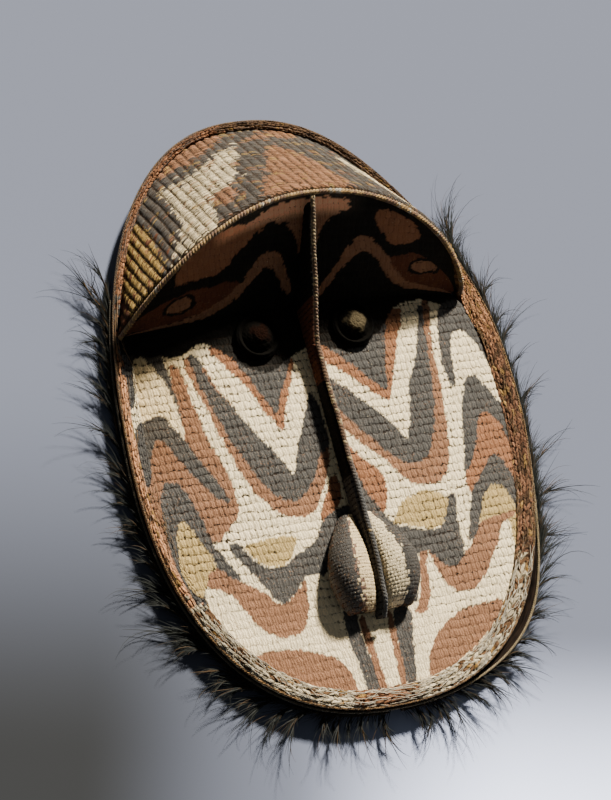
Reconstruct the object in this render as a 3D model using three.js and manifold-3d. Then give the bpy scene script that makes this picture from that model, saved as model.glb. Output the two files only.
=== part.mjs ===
// Woven spirit mask with an overhanging brow, a fin nose and a fringe of feathers.
// Millimetres. It lies face up: +X is the wearer's left, +Y the crown, +Z out of the face.
import * as THREE from 'three';
import Module from 'manifold-3d';
import { mergeVertices } from 'three/addons/utils/BufferGeometryUtils.js';

// Oval of the rim, a soft superellipse that is fuller towards the chin
const HALF_LENGTH = 250;
const HALF_WIDTH = 165;
const ROUNDNESS = 2.28;
const CHIN_FULLNESS = 0.107;

// The wearer's left cheek swells out past the even oval, below the end of the brow
const CHEEK_SWELL = 14;
const CHEEK_ANGLE = 10;
const CHEEK_SPREAD = 25;

// Woven panels
const PANEL = 7;
const EDGE_HEIGHT = 14;
const FACE_BULGE = 16;
const BULGE_POWER = 2.6;
const PANEL_INSET = 3.5;

// Brow: where it leaves the rim, and the highest point of its edge
const CORNER_Y = 78;
const APEX_Y = 148.5;
const APEX_HEIGHT = 91;
const BROW_SWEEP = 1.27;
const CREASE_Y = 80;
const CREASE_INSET = 9;
const LIP_SETBACK = 3.5;
const HOOD_INSET = 6.8;
const HOOD_REACH = 0.955;
const BROW_REACH = 0.95;
const FACE_REACH = 0.985;

// Hoop, braid and cords
const HOOP_INSET = 5;
const HOOP_WIDTH = 6;
const HOOP_DEPTH = 6.6;
const RIM_PLANE = 22;
const BRAID_WIDTH = 15;
const CROWN_BRAID_WIDTH = 6.2;
const CROWN_BRAID_TOP = 18.6;
const BROW_CORD_RADIUS = 2.4;
const NOSE_CORD_RADIUS = 2.2;

// Nose fin: its edge from brow to bridge to tip, as (y, z)
const FIN_THICKNESS = 7;
const FIN_TOP = [138.5, 106];
const FIN_BRIDGE = [42, 45];
const FIN_TIP = [-123, 49];
const FIN_FOOT = [-171, 43];
const FIN_END = [-182, 31];

// Nostril wings
const WING_TOP_Y = -98;
const WING_LENGTH = 79;
const WING_START = 14;
const WING_REACH = 38;
const WING_LOW_CREST = 8;
const WING_CREST = 23.5;
const WING_FULL_AT = 0.62;
const WING_TUCK = 11;
const WING_ROUNDING = 0.88;
const WING_SHOULDER = 0.7;
const WING_WALL = 4;
const WING_GAP = 1.2;
const WING_EDGE_LIFT = 8;

// Eye bosses
const EYE_X = 42;
const EYE_Y = 58;
const EYE_RADIUS = 18.5;
const EYE_HEIGHT = 14.5;

// Feathers: one band behind the rim, four strings of plumes tied to it
const BAND_THICKNESS = 2.4;
const BAND_BOTTOM = 3;
const BAND_TOP = 13;
const BAND_LEAN = 4.2;
const BAND_FROM = 157;
const BAND_TO = 383;
const BAND_FLARE = 9;
const FLARE_ANGLE = 312;
const FLARE_SPREAD = 20;
const QUILL_Z = 7;
const QUILL_SIZE = 2.4;
const PLUMES_PER_STRING = 10;
const PLUME_LENGTH = 58;
const PLUME_WIDTH = 19;

const CLEARANCE = 0.35;
const RIM_STEPS = 54;

const wasm = await Module();
wasm.setup();

const rad = THREE.MathUtils.degToRad;
const lerp = THREE.MathUtils.lerp;
const clamp = THREE.MathUtils.clamp;
const smooth = THREE.MathUtils.smoothstep;

function signedPower(value, power) {
  return Math.sign(value) * Math.abs(value) ** power;
}

function breadth(y) {
  return HALF_WIDTH * (1 - CHIN_FULLNESS * y / HALF_LENGTH);
}

// How far a point lies towards the rim: 0 in the middle, 1 on the oval
function ovalRadius(x, y) {
  const across = Math.abs(x) / breadth(y);
  const along = Math.abs(y) / HALF_LENGTH;
  return (across ** ROUNDNESS + along ** ROUNDNESS) ** (1 / ROUNDNESS);
}

// Point of the even oval at an angle in degrees, with its outward direction
function ovalPoint(angle) {
  const c = Math.cos(rad(angle));
  const s = Math.sin(rad(angle));
  const y = HALF_LENGTH * signedPower(s, 2 / ROUNDNESS);
  const x = breadth(y) * signedPower(c, 2 / ROUNDNESS);
  const across = x / breadth(y);
  const along = y / HALF_LENGTH;
  const fuller = CHIN_FULLNESS / HALF_LENGTH * HALF_WIDTH / breadth(y);
  const outward = new THREE.Vector2(
    signedPower(across, ROUNDNESS - 1) / breadth(y),
    signedPower(along, ROUNDNESS - 1) / HALF_LENGTH + Math.abs(across) ** ROUNDNESS * fuller,
  ).normalize();
  return { x, y, outward };
}

// Point of the real rim, with the swell of the cheek, moved inwards by inset
function rimPoint(angle, inset = 0) {
  const { x, y, outward } = ovalPoint(angle);
  const away = THREE.MathUtils.euclideanModulo(angle - CHEEK_ANGLE + 180, 360) - 180;
  const move = CHEEK_SWELL * Math.exp(-((away / CHEEK_SPREAD) ** 2)) - inset;
  return { x: x + outward.x * move, y: y + outward.y * move, outward };
}

function faceHeight(x, y) {
  const radius = Math.min(ovalRadius(x, y), 1);
  return EDGE_HEIGHT + FACE_BULGE * (1 - radius ** BULGE_POWER);
}

// Angle on the oval at which the brow starts, right side
const CORNER_ANGLE = THREE.MathUtils.radToDeg(Math.asin((CORNER_Y / HALF_LENGTH) ** (ROUNDNESS / 2)));
const CORNER_X = ovalPoint(CORNER_ANGLE).x;

// The hood is ruled from the top rim along one direction, and its reach grows towards the crown
const RULING = new THREE.Vector3(0, APEX_Y - HALF_LENGTH, APEX_HEIGHT);
const RULING_UNIT = RULING.clone().normalize();

function hoodPoint(u, s, inset = HOOD_INSET) {
  const angle = 90 - u * (90 - CORNER_ANGLE);
  const rim = ovalPoint(angle);
  const start = rimPoint(angle, inset);
  const rise = clamp((rim.y - CORNER_Y) / (HALF_LENGTH - CORNER_Y), 0, 1);
  const reach = 1 - (1 - rise) ** BROW_SWEEP;
  const brow = new THREE.Vector3(rim.x, rim.y, RIM_PLANE).addScaledVector(RULING, reach);
  return new THREE.Vector3(start.x, start.y, EDGE_HEIGHT).lerp(brow, s);
}

function hoodNormal(u, s) {
  const step = 0.01;
  const along = hoodPoint(u + step, s).sub(hoodPoint(u - step, s));
  return RULING_UNIT.clone().cross(along).normalize();
}

// Closed body from two grids of points, the front row by row and the back behind it
function closedSkin(front, back) {
  const rows = front.length;
  const columns = front[0].length;
  const positions = [...front.flat(), ...back.flat()].flatMap((p) => [p.x, p.y, p.z]);
  const index = [];
  const at = (row, column, side) => side * rows * columns + row * columns + column;
  const quad = (a, b, c, d) => index.push(a, b, c, a, c, d);
  for (let i = 0; i + 1 < rows; i += 1) {
    for (let j = 0; j + 1 < columns; j += 1) {
      quad(at(i, j, 0), at(i, j + 1, 0), at(i + 1, j + 1, 0), at(i + 1, j, 0));
      quad(at(i, j, 1), at(i + 1, j, 1), at(i + 1, j + 1, 1), at(i, j + 1, 1));
    }
    quad(at(i, 0, 0), at(i + 1, 0, 0), at(i + 1, 0, 1), at(i, 0, 1));
    const last = columns - 1;
    quad(at(i, last, 0), at(i, last, 1), at(i + 1, last, 1), at(i + 1, last, 0));
  }
  for (let j = 0; j + 1 < columns; j += 1) {
    quad(at(0, j, 0), at(0, j, 1), at(0, j + 1, 1), at(0, j + 1, 0));
    const last = rows - 1;
    quad(at(last, j, 0), at(last, j + 1, 0), at(last, j + 1, 1), at(last, j, 1));
  }
  return bufferGeometry(positions, index);
}

// Closed bar or ring through sections, each one a loop of points
function sweptSections(sections, ring) {
  const sides = sections[0].length;
  const positions = sections.flat().flatMap((p) => [p.x, p.y, p.z]);
  const index = [];
  const count = sections.length;
  const spans = ring ? count : count - 1;
  for (let i = 0; i < spans; i += 1) {
    const here = i * sides;
    const next = ((i + 1) % count) * sides;
    for (let k = 0; k < sides; k += 1) {
      const m = (k + 1) % sides;
      index.push(here + k, here + m, next + m, here + k, next + m, next + k);
    }
  }
  if (!ring) {
    const end = (count - 1) * sides;
    for (let k = 1; k + 1 < sides; k += 1) {
      index.push(0, k + 1, k, end, end + k, end + k + 1);
    }
  }
  return bufferGeometry(positions, index);
}

function bufferGeometry(positions, index) {
  const geometry = new THREE.BufferGeometry();
  geometry.setAttribute('position', new THREE.Float32BufferAttribute(positions, 3));
  geometry.setIndex(index);
  return geometry;
}

function toSolid(geometry) {
  const plain = geometry.clone();
  plain.deleteAttribute('normal');
  plain.deleteAttribute('uv');
  const merged = mergeVertices(plain, 1e-4);
  return new wasm.Manifold(new wasm.Mesh({
    numProp: 3,
    vertProperties: Float32Array.from(merged.attributes.position.array),
    triVerts: Uint32Array.from(merged.index.array),
  }));
}

function fromSolid(solid) {
  const mesh = solid.getMesh();
  return bufferGeometry(Array.from(mesh.vertProperties), Array.from(mesh.triVerts));
}

// The largest body of a solid, without the slivers that a cut can leave
function largestBody(solid) {
  return solid.decompose().sort((a, b) => b.volume() - a.volume())[0];
}

function range(count) {
  return Array.from({ length: count + 1 }, (_, i) => i / count);
}

// Round cord along a list of points
function cord(points, radius, sides, steps) {
  const path = new THREE.CatmullRomCurve3(points);
  const section = new THREE.Shape();
  range(sides).slice(0, sides).forEach((turn, k) => {
    const angle = turn * 2 * Math.PI;
    const place = [radius * Math.cos(angle), radius * Math.sin(angle)];
    if (k === 0) section.moveTo(...place);
    else section.lineTo(...place);
  });
  section.closePath();
  return new THREE.ExtrudeGeometry(section, { steps, extrudePath: path });
}

// Face panel: from the lower rim up to the crease, then forward as the underside of the brow
function facePanel() {
  const stations = range(28).map((t) => lerp(-FACE_REACH, FACE_REACH, t));
  const faceSteps = range(11);
  const browSteps = range(4).slice(1);
  const browLean = Math.atan2(APEX_HEIGHT - LIP_SETBACK, APEX_Y - CREASE_Y);
  const front = [];
  const back = [];
  const crease = (u) => {
    const x = u * (CORNER_X - CREASE_INSET);
    const y = lerp(CORNER_Y, CREASE_Y, 1 - u * u);
    return new THREE.Vector3(x, y, faceHeight(x, y));
  };
  for (const s of faceSteps) {
    const mitre = s === 1 ? PANEL * Math.tan(browLean / 2) : 0;
    const row = stations.map((u) => {
      const rim = rimPoint(270 + u * (90 + CORNER_ANGLE), PANEL_INSET);
      const top = crease(u);
      const x = lerp(rim.x, top.x, s);
      const y = lerp(rim.y, top.y, s);
      return new THREE.Vector3(x, y, faceHeight(x, y));
    });
    front.push(row);
    back.push(row.map((p) => new THREE.Vector3(p.x, p.y + mitre, p.z - PANEL)));
  }
  for (const s of browSteps) {
    const row = stations.map((u) => {
      const brow = hoodPoint(u * BROW_REACH, 1).addScaledVector(RULING_UNIT, -LIP_SETBACK);
      return crease(u).lerp(brow, s);
    });
    front.push(row);
    back.push(row.map((p, j) => {
      const thinned = clamp(8 * (1 - Math.abs(stations[j])), 0.5, 1);
      const thickness = PANEL * thinned;
      const rise = thickness * Math.sin(browLean);
      return new THREE.Vector3(p.x, p.y + rise, p.z - thickness * Math.cos(browLean));
    }));
  }
  return closedSkin(front, back);
}

// Hood: the panel between the top rim and the brow edge, with a short foot inside the hoop
function hoodPanel(growth = 0) {
  const reach = HOOD_REACH + growth * 0.01;
  const stations = range(30).map((t) => lerp(reach, -reach, t));
  const outer = [];
  const inner = [];
  for (const s of range(5)) {
    const end = s === 1 ? growth : 0;
    const skin = (depth) => stations.map((u) => hoodPoint(u, s)
      .addScaledVector(RULING_UNIT, end)
      .addScaledVector(hoodNormal(u, s), depth));
    outer.push(skin(growth));
    inner.push(skin(-PANEL - growth));
  }
  const footHeight = EDGE_HEIGHT - PANEL - growth;
  const flange = (z) => stations.map((u) => {
    const p = rimPoint(90 - u * (90 - CORNER_ANGLE), PANEL_INSET - growth);
    return new THREE.Vector3(p.x, p.y, z);
  });
  const foot = (drop) => inner[0].map((p) => new THREE.Vector3(p.x, p.y, lerp(p.z, footHeight, drop)));
  return closedSkin(
    [flange(footHeight), flange(EDGE_HEIGHT + growth), ...outer],
    [foot(1), foot(0.5), ...inner],
  );
}

function rimHoop() {
  const sections = range(RIM_STEPS).slice(0, RIM_STEPS).map((turn) => {
    const out = rimPoint(turn * 360, HOOP_INSET);
    const inside = rimPoint(turn * 360, HOOP_INSET + HOOP_WIDTH);
    return [
      new THREE.Vector3(inside.x, inside.y, 0),
      new THREE.Vector3(inside.x, inside.y, HOOP_DEPTH),
      new THREE.Vector3(out.x, out.y, HOOP_DEPTH),
      new THREE.Vector3(out.x, out.y, 0),
    ];
  });
  return sweptSections(sections, true);
}

// The braid is wide along the face, and narrow and low along the crown, where it only caps the hoop
function rimBraid() {
  const bed = 0.6;
  const profile = [[1, 0], [1, 0.55], [0.8, 0.9], [0.5, 1], [0.2, 0.9], [0, 0.55], [0, 0]];
  const sections = range(RIM_STEPS).slice(0, RIM_STEPS).map((turn) => {
    const angle = turn * 360;
    const crown = smooth(rimPoint(angle).y, CORNER_Y - 30, CORNER_Y + 6);
    const width = lerp(BRAID_WIDTH, CROWN_BRAID_WIDTH, crown);
    const top = lerp(RIM_PLANE, CROWN_BRAID_TOP, crown);
    return profile.map(([across, up]) => {
      const p = rimPoint(angle, across * width);
      const low = faceHeight(p.x, p.y) + bed;
      return new THREE.Vector3(p.x, p.y, lerp(low, Math.max(top, low + 4), up));
    });
  });
  return sweptSections(sections, true);
}

function browCordPoint(u) {
  const normal = hoodNormal(u, 1);
  return hoodPoint(u, 1)
    .addScaledVector(normal, -PANEL / 2)
    .addScaledVector(RULING_UNIT, BROW_CORD_RADIUS + CLEARANCE);
}

function browBinding() {
  const stations = range(36).map((t) => lerp(-HOOD_REACH, HOOD_REACH, t));
  return cord(stations.map(browCordPoint), BROW_CORD_RADIUS, 6, 34);
}

function finEdge() {
  return [FIN_TOP, FIN_BRIDGE, FIN_TIP, FIN_FOOT, FIN_END];
}

// Fin: a thin plate whose back follows the underside of the brow and the face
function noseFin() {
  const gap = 1;
  const lip = hoodPoint(0, 1).addScaledVector(RULING_UNIT, -LIP_SETBACK);
  const crease = [CREASE_Y, faceHeight(0, CREASE_Y)];
  const back = range(8).map((t) => {
    const y = lerp(FIN_END[0], CREASE_Y, t);
    return [y - (t === 1 ? gap : 0), faceHeight(0, y) + gap];
  });
  const nearLip = 0.86;
  back.push([lerp(crease[0], lip.y, nearLip) - gap, lerp(crease[1], lip.z, nearLip) - gap]);
  const outline = new THREE.Shape();
  [...back, ...finEdge()].forEach(([y, z], k) => {
    if (k === 0) outline.moveTo(y, z);
    else outline.lineTo(y, z);
  });
  outline.closePath();
  const plate = new THREE.ExtrudeGeometry(outline, { depth: FIN_THICKNESS, bevelEnabled: false });
  plate.translate(0, 0, -FIN_THICKNESS / 2);
  plate.applyMatrix4(new THREE.Matrix4().makeBasis(
    new THREE.Vector3(0, 1, 0),
    new THREE.Vector3(0, 0, 1),
    new THREE.Vector3(1, 0, 0),
  ));
  return plate;
}

function noseCord(growth = 0) {
  const lift = NOSE_CORD_RADIUS + 2 * CLEARANCE;
  const edge = finEdge();
  const points = edge.map(([y, z], k) => {
    const here = new THREE.Vector2(y, z);
    const before = here.clone().sub(new THREE.Vector2(...edge[Math.max(k - 1, 0)])).normalize();
    const after = new THREE.Vector2(...edge[Math.min(k + 1, edge.length - 1)]).sub(here).normalize();
    const run = before.clone().add(after).normalize();
    const mitre = lift / Math.max(run.dot(before), run.dot(after));
    return new THREE.Vector3(0, y + run.y * mitre, z - run.x * mitre);
  });
  points[0].addScaledVector(new THREE.Vector3(0, -1, -0.6), 1.5);
  const path = new THREE.CurvePath();
  for (let k = 0; k + 1 < points.length; k += 1) {
    path.add(new THREE.LineCurve3(points[k], points[k + 1]));
  }
  return cord(path.getSpacedPoints(28), NOSE_CORD_RADIUS + growth, 6, 32);
}

// Nostril wing: a rolled band, narrow at the top, rounded down and open at the bottom, stitched to the fin
function wingSection(v, t, wall) {
  const grown = Math.sin(Math.min(v / WING_FULL_AT, 1) * Math.PI / 2);
  const closing = Math.max(0, (v - WING_FULL_AT) / (1 - WING_FULL_AT)) ** 2;
  const reach = lerp(WING_START, WING_REACH, grown) - WING_TUCK * closing;
  const crest = lerp(WING_LOW_CREST, WING_CREST, grown) * Math.sqrt(1 - WING_ROUNDING * closing);
  const inner = FIN_THICKNESS / 2 + WING_GAP;
  const middle = (inner + reach) / 2;
  const half = (reach - inner) / 2 - wall;
  const turn = t * Math.PI;
  const x = middle - half * Math.cos(turn);
  const y = WING_TOP_Y - WING_LENGTH * v;
  const base = faceHeight(middle, y) + WING_GAP + WING_EDGE_LIFT * t * (grown - 0.4 * closing);
  const arch = Math.sin(turn) ** 0.8;
  const rise = t < 0.5 ? lerp(WING_SHOULDER, 1, arch) : arch;
  return new THREE.Vector3(x, y, base + (crest - wall) * rise);
}

function nostrilWing(side) {
  const lengthSteps = [0, 0.16, 0.32, 0.48, 0.62, 0.75, 0.86, 0.94, 1];
  const aroundSteps = range(10);
  const grid = (wall) => lengthSteps.map((v) => aroundSteps.map((t) => {
    const thin = wall * (0.55 + 0.45 * smooth(v, 0, 0.4));
    const p = wingSection(v, t, thin);
    return new THREE.Vector3(side * p.x, p.y, p.z);
  }));
  const outer = grid(0);
  const inner = grid(WING_WALL);
  return side > 0 ? closedSkin(inner, outer) : closedSkin(outer, inner);
}

function eyeBoss() {
  const profile = [
    [0, 0], [1, 0], [1, 0.26], [0.88, 0.42], [0.74, 0.36], [0.58, 0.62], [0.32, 0.92], [0, 1],
  ];
  const points = profile.map(([r, h]) => new THREE.Vector2(r * EYE_RADIUS, h * EYE_HEIGHT));
  const boss = new THREE.LatheGeometry(points, 20);
  boss.rotateX(Math.PI / 2);
  return boss;
}

// Bark strip under the braid, leaning inwards to the hoop; a gap opens at the lower right
function bandInset(angle, z) {
  const flare = BAND_FLARE * Math.exp(-(((angle - FLARE_ANGLE) / FLARE_SPREAD) ** 2));
  const lean = BAND_LEAN * (BAND_TOP - z) / (BAND_TOP - BAND_BOTTOM);
  return CLEARANCE + lean - flare;
}

function featherBand(growth = 0) {
  const sections = range(48).map((t) => {
    const angle = lerp(BAND_FROM, BAND_TO, t);
    const corner = (z, out) => {
      const p = rimPoint(angle, bandInset(angle, z) - out);
      return new THREE.Vector3(p.x, p.y, z);
    };
    const low = BAND_BOTTOM - growth;
    const high = BAND_TOP + growth;
    const far = BAND_THICKNESS + growth;
    return [corner(low, -growth), corner(high, -growth), corner(high, far), corner(low, far)];
  });
  return sweptSections(sections, false);
}

// Direction in which plumes sweep: up along the sides, outwards at the chin, drooping at the tips
function plumeSweep(angle) {
  const fromChin = Math.abs(angle - 270) / 106;
  return rad(lerp(4, 62, smooth(fromChin, 0.15, 1)));
}

function plume(angle, length, width, lift) {
  const base = rimPoint(angle, bandInset(angle, QUILL_Z) - BAND_THICKNESS - QUILL_SIZE);
  const side = Math.sign(angle - 270) || 1;
  const outward = new THREE.Vector3(base.outward.x, base.outward.y, 0);
  const upward = new THREE.Vector3(-outward.y * side, outward.x * side, 0);
  const sweep = plumeSweep(angle);
  const heading = outward.clone().multiplyScalar(Math.cos(sweep)).addScaledVector(upward, Math.sin(sweep));
  const across = new THREE.Vector3(-heading.y, heading.x, 0);
  const stations = [[0, 0.35, 1.3], [0.45, 1, 1.5], [1, 0.15, 0.5]];
  const sections = stations.map(([t, wide, thick]) => {
    const centre = new THREE.Vector3(base.x, base.y, QUILL_Z)
      .addScaledVector(heading, t * length)
      .add(new THREE.Vector3(0, -0.16 * length * t * t, lift * t));
    const half = width / 2 * wide;
    return [
      centre.clone().addScaledVector(across, half),
      centre.clone().add(new THREE.Vector3(0, 0, thick)),
      centre.clone().addScaledVector(across, -half),
      centre.clone().add(new THREE.Vector3(0, 0, -thick)),
    ];
  });
  return sweptSections(sections, false);
}

// One string: a quill cord along the band, and plumes of slightly uneven size fused to it
function featherString(from, to) {
  const quill = range(16).map((t) => {
    const angle = lerp(from, to, t);
    return [[0.5, -0.5], [0.5, 0.5], [1.5, 0.5], [1.5, -0.5]].map(([out, up]) => {
      const inset = bandInset(angle, QUILL_Z) - BAND_THICKNESS - out * QUILL_SIZE;
      const p = rimPoint(angle, inset);
      return new THREE.Vector3(p.x, p.y, QUILL_Z + up * QUILL_SIZE);
    });
  });
  let string = toSolid(sweptSections(quill, false));
  for (let k = 0; k < PLUMES_PER_STRING; k += 1) {
    const angle = lerp(from, to, (k + 0.5) / PLUMES_PER_STRING);
    const uneven = Math.sin(k * 2.4 + from);
    const length = PLUME_LENGTH * (0.92 + 0.14 * uneven);
    const width = PLUME_WIDTH * (1 + 0.18 * Math.sin(k * 1.7 + to));
    string = string.add(toSolid(plume(angle, length, width, 9 + 5 * Math.cos(k * 1.9))));
  }
  const bandRoom = toSolid(featherBand(CLEARANCE));
  return fromSolid(largestBody(string.subtract(bandRoom)));
}

const FINISH = {
  weave: { color: 0x8d7058, roughness: 0.85 },
  hood: { color: 0x857564, roughness: 0.85 },
  braid: { color: 0xcbb89a, roughness: 0.8 },
  cane: { color: 0xa5754b, roughness: 0.6 },
  cord: { color: 0xb59a6b, roughness: 0.8 },
  fin: { color: 0x55493f, roughness: 0.85 },
  boss: { color: 0x2b241f, roughness: 0.9 },
  bark: { color: 0x7a5236, roughness: 0.75 },
  feather: { color: 0x1b1613, roughness: 0.7 },
};

const mask = new THREE.Group();

function addPiece(name, geometry, finish) {
  const material = new THREE.MeshStandardMaterial({ ...FINISH[finish], metalness: 0 });
  const mesh = new THREE.Mesh(geometry, material);
  mesh.name = name;
  mask.add(mesh);
  return mesh;
}

const hoodCutter = toSolid(hoodPanel(CLEARANCE));
const face = largestBody(toSolid(facePanel()).subtract(hoodCutter));
addPiece('face_weave', fromSolid(face), 'weave');
addPiece('forehead_hood', hoodPanel(), 'hood');
addPiece('rim_hoop', rimHoop(), 'cane');
const braid = largestBody(toSolid(rimBraid()).subtract(hoodCutter));
addPiece('rim_braid', fromSolid(braid), 'braid');
addPiece('brow_binding', browBinding(), 'cord');
const fin = largestBody(toSolid(noseFin()).subtract(toSolid(noseCord(CLEARANCE))));
addPiece('nose_ridge', fromSolid(fin), 'fin');
addPiece('nose_cord', noseCord(), 'cord');
addPiece('nostril_left', nostrilWing(1), 'fin');
addPiece('nostril_right', nostrilWing(-1), 'fin');
for (const [name, side] of [['eye_left', 1], ['eye_right', -1]]) {
  const eye = addPiece(name, eyeBoss(), 'boss');
  eye.position.set(side * EYE_X, EYE_Y, faceHeight(EYE_X - EYE_RADIUS, EYE_Y) + 0.6);
}
addPiece('feather_band', featherBand(), 'bark');
const STRINGS = [
  ['feathers_right', BAND_FROM, 215],
  ['feathers_chin_right', 217, 269],
  ['feathers_chin_left', 271, 323],
  ['feathers_left', 325, BAND_TO],
];
for (const [name, from, to] of STRINGS) {
  addPiece(name, featherString(from, to), 'feather');
}

// The origin is under the middle of the whole mask, on the plane that it lies on
const bounds = new THREE.Box3().setFromObject(mask);
const middle = bounds.getCenter(new THREE.Vector3());
mask.position.set(-middle.x, -middle.y, -bounds.min.z);

export default mask;
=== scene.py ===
"""Looks of the woven spirit mask: stitched panels, plaits, cords, bark, feathers and the stage."""

import math

import bpy
import numpy as np
from mathutils import Matrix, Vector


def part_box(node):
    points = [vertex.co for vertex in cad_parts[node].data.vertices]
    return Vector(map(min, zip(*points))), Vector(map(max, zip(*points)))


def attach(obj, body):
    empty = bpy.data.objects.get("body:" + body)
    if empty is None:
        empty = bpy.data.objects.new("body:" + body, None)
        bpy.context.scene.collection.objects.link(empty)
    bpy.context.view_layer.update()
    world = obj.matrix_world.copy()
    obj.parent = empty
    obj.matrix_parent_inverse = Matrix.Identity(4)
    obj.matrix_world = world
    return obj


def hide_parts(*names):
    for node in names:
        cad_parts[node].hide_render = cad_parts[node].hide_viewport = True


bl_info = {
    "name": "Woven Mask Maker",
    "version": (1, 0, 0),
    "blender": (4, 5, 0),
    "location": "View3D > Sidebar > Mask",
    "description": "Builds the stitched, painted and feathered pieces of a basketry mask on its packed frame",
    "category": "Add Mesh",
}

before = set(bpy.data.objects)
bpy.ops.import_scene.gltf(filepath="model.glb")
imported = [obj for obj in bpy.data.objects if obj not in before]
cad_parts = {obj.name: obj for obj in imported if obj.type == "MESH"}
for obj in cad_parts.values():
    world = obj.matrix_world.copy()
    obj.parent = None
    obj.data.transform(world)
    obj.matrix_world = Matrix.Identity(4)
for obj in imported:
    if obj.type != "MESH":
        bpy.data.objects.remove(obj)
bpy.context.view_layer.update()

# Sizes of the frame, in millimetres about the middle of the oval; the face looks along +Z.
# Angles are in degrees, anticlockwise from the mask's left side: 90 at the crown, 270 at the chin.
HALF_LENGTH = 250.0
HALF_WIDTH = 165.0
ROUNDNESS = 2.28
CHIN_FULLNESS = 0.107
CHEEK_SWELL = 14.0
CHEEK_ANGLE = 10.0
CHEEK_SPREAD = 25.0
PANEL = 7.0
EDGE_HEIGHT = 14.0
FACE_BULGE = 16.0
BULGE_POWER = 2.6
PANEL_INSET = 3.5
CORNER_Y = 78.0
APEX_Y = 148.5
APEX_HEIGHT = 91.0
BROW_SWEEP = 1.27
CREASE_Y = 80.0
CREASE_INSET = 9.0
LIP_SETBACK = 3.5
HOOD_INSET = 6.8
BROW_REACH = 0.95
RIM_PLANE = 22.0
BRAID_WIDTH = 15.0
CROWN_BRAID_WIDTH = 6.2
BROW_CORD_RADIUS = 2.4
CROWN_BRAID_TOP = 18.6
NOSE_CORD_RADIUS = 2.2
HOOP_INSET = 5.0
HOOP_WIDTH = 6.0
HOOP_DEPTH = 6.6
FIN_THICKNESS = 7.0
FIN_EDGE = [(138.5, 106.0), (42.0, 45.0), (-123.0, 49.0), (-171.0, 43.0), (-182.0, 31.0)]
WING_TOP_Y = -98.0
WING_LENGTH = 79.0
WING_START = 14.0
WING_REACH = 38.0
WING_LOW_CREST = 8.0
WING_CREST = 23.5
WING_FULL_AT = 0.62
WING_TUCK = 11.0
WING_WALL = 4.0
WING_GAP = 1.2
WING_EDGE_LIFT = 8.0
WING_ROUNDING = 0.88
WING_SHOULDER = 0.7
EYE_X = 42.0
EYE_Y = 58.0
EYE_RADIUS = 18.5
EYE_HEIGHT = 14.5
BAND_BOTTOM = 3.0
BAND_TOP = 13.0
BAND_THICKNESS = 2.4
BAND_LEAN = 4.2
BAND_FROM = 157.0
BAND_TO = 383.0
BAND_FLARE = 9.0
FLARE_ANGLE = 312.0
FLARE_SPREAD = 20.0
QUILL_Z = 7.0
QUILL_SIZE = 2.4
CHIN_ANGLE = 272.0
CLEARANCE = 0.35
UNDER_DEPTH = 3.4

# Stagger of each row of stitches: its largest part of a stitch, and its change from row to row
ROW_SHIFT = 0.25
ROW_TURN = 2.4

# Spots of down to each tuft of feathers, and colours from 0 to 255 that no setting changes
DOWN_SPOTS = 5
CHIP_COLOUR = (222, 196, 150)
BARB_SHADE = (18, 18, 16)

UP = np.array([0.0, 0.0, 1.0])

CORNER_ANGLE = math.degrees(math.asin((CORNER_Y / HALF_LENGTH) ** (ROUNDNESS / 2)))
RULING = np.array([0.0, APEX_Y - HALF_LENGTH, APEX_HEIGHT])
RULING_UNIT = RULING / np.linalg.norm(RULING)
FIN_LOW, FIN_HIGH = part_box("nose_ridge")
SHIFT = np.array([(FIN_LOW.x + FIN_HIGH.x) * 500, FIN_LOW.y * 1000 - FIN_EDGE[-1][0], 0.0])

random = np.random.default_rng(11)


# ---- Form of the mask


def signed_power(value, power):
    """A power of the size of a value, with its sign."""
    return np.sign(value) * np.abs(value) ** power


def unit(vectors):
    """Vectors brought to a length of one."""
    return vectors / (np.linalg.norm(vectors, axis=-1, keepdims=True) + 1e-12)


def walked(path):
    """Distance from the start of a path to each of its points."""
    return np.concatenate([[0], np.cumsum(np.linalg.norm(np.diff(path, axis=0), axis=-1))])


def part_way(value, start, end):
    """0 at the start or before it, and 1 at the end or past it."""
    return np.clip((value - start) / (end - start), 0, 1)


def eased(share):
    """A share from 0 to 1 that starts and ends softly."""
    return share * share * (3 - 2 * share)


def breadth(y):
    """Half width of the oval's frame at a height: the chin is fuller than the crown."""
    return HALF_WIDTH * (1 - CHIN_FULLNESS * y / HALF_LENGTH)


def oval_radius(x, y):
    """0 in the middle of the oval and 1 on it."""
    across = np.abs(x) / breadth(y)
    along = np.abs(y) / HALF_LENGTH
    return (across**ROUNDNESS + along**ROUNDNESS) ** (1 / ROUNDNESS)


def oval_point(angle):
    """Point of the even oval and its outward direction, for angles in degrees."""
    turn = np.radians(angle)
    y = HALF_LENGTH * signed_power(np.sin(turn), 2 / ROUNDNESS)
    x = breadth(y) * signed_power(np.cos(turn), 2 / ROUNDNESS)
    across, along = x / breadth(y), y / HALF_LENGTH
    fuller = CHIN_FULLNESS / HALF_LENGTH * HALF_WIDTH / breadth(y)
    out_x = signed_power(across, ROUNDNESS - 1) / breadth(y)
    out_y = signed_power(along, ROUNDNESS - 1) / HALF_LENGTH + np.abs(across) ** ROUNDNESS * fuller
    length = np.hypot(out_x, out_y)
    return x, y, out_x / length, out_y / length


def rim_point(angle, inset=0.0):
    """Point of the real rim, with the fuller cheek, moved inwards by inset."""
    x, y, out_x, out_y = oval_point(angle)
    away = (angle - CHEEK_ANGLE + 180) % 360 - 180
    move = CHEEK_SWELL * np.exp(-((away / CHEEK_SPREAD) ** 2)) - inset
    return x + out_x * move, y + out_y * move, out_x, out_y


def rim_line(angle, inset, z):
    """Points of the rim, moved inwards by inset, at a height."""
    return np.stack(np.broadcast_arrays(*rim_point(angle, inset)[:2], z), -1)


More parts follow.
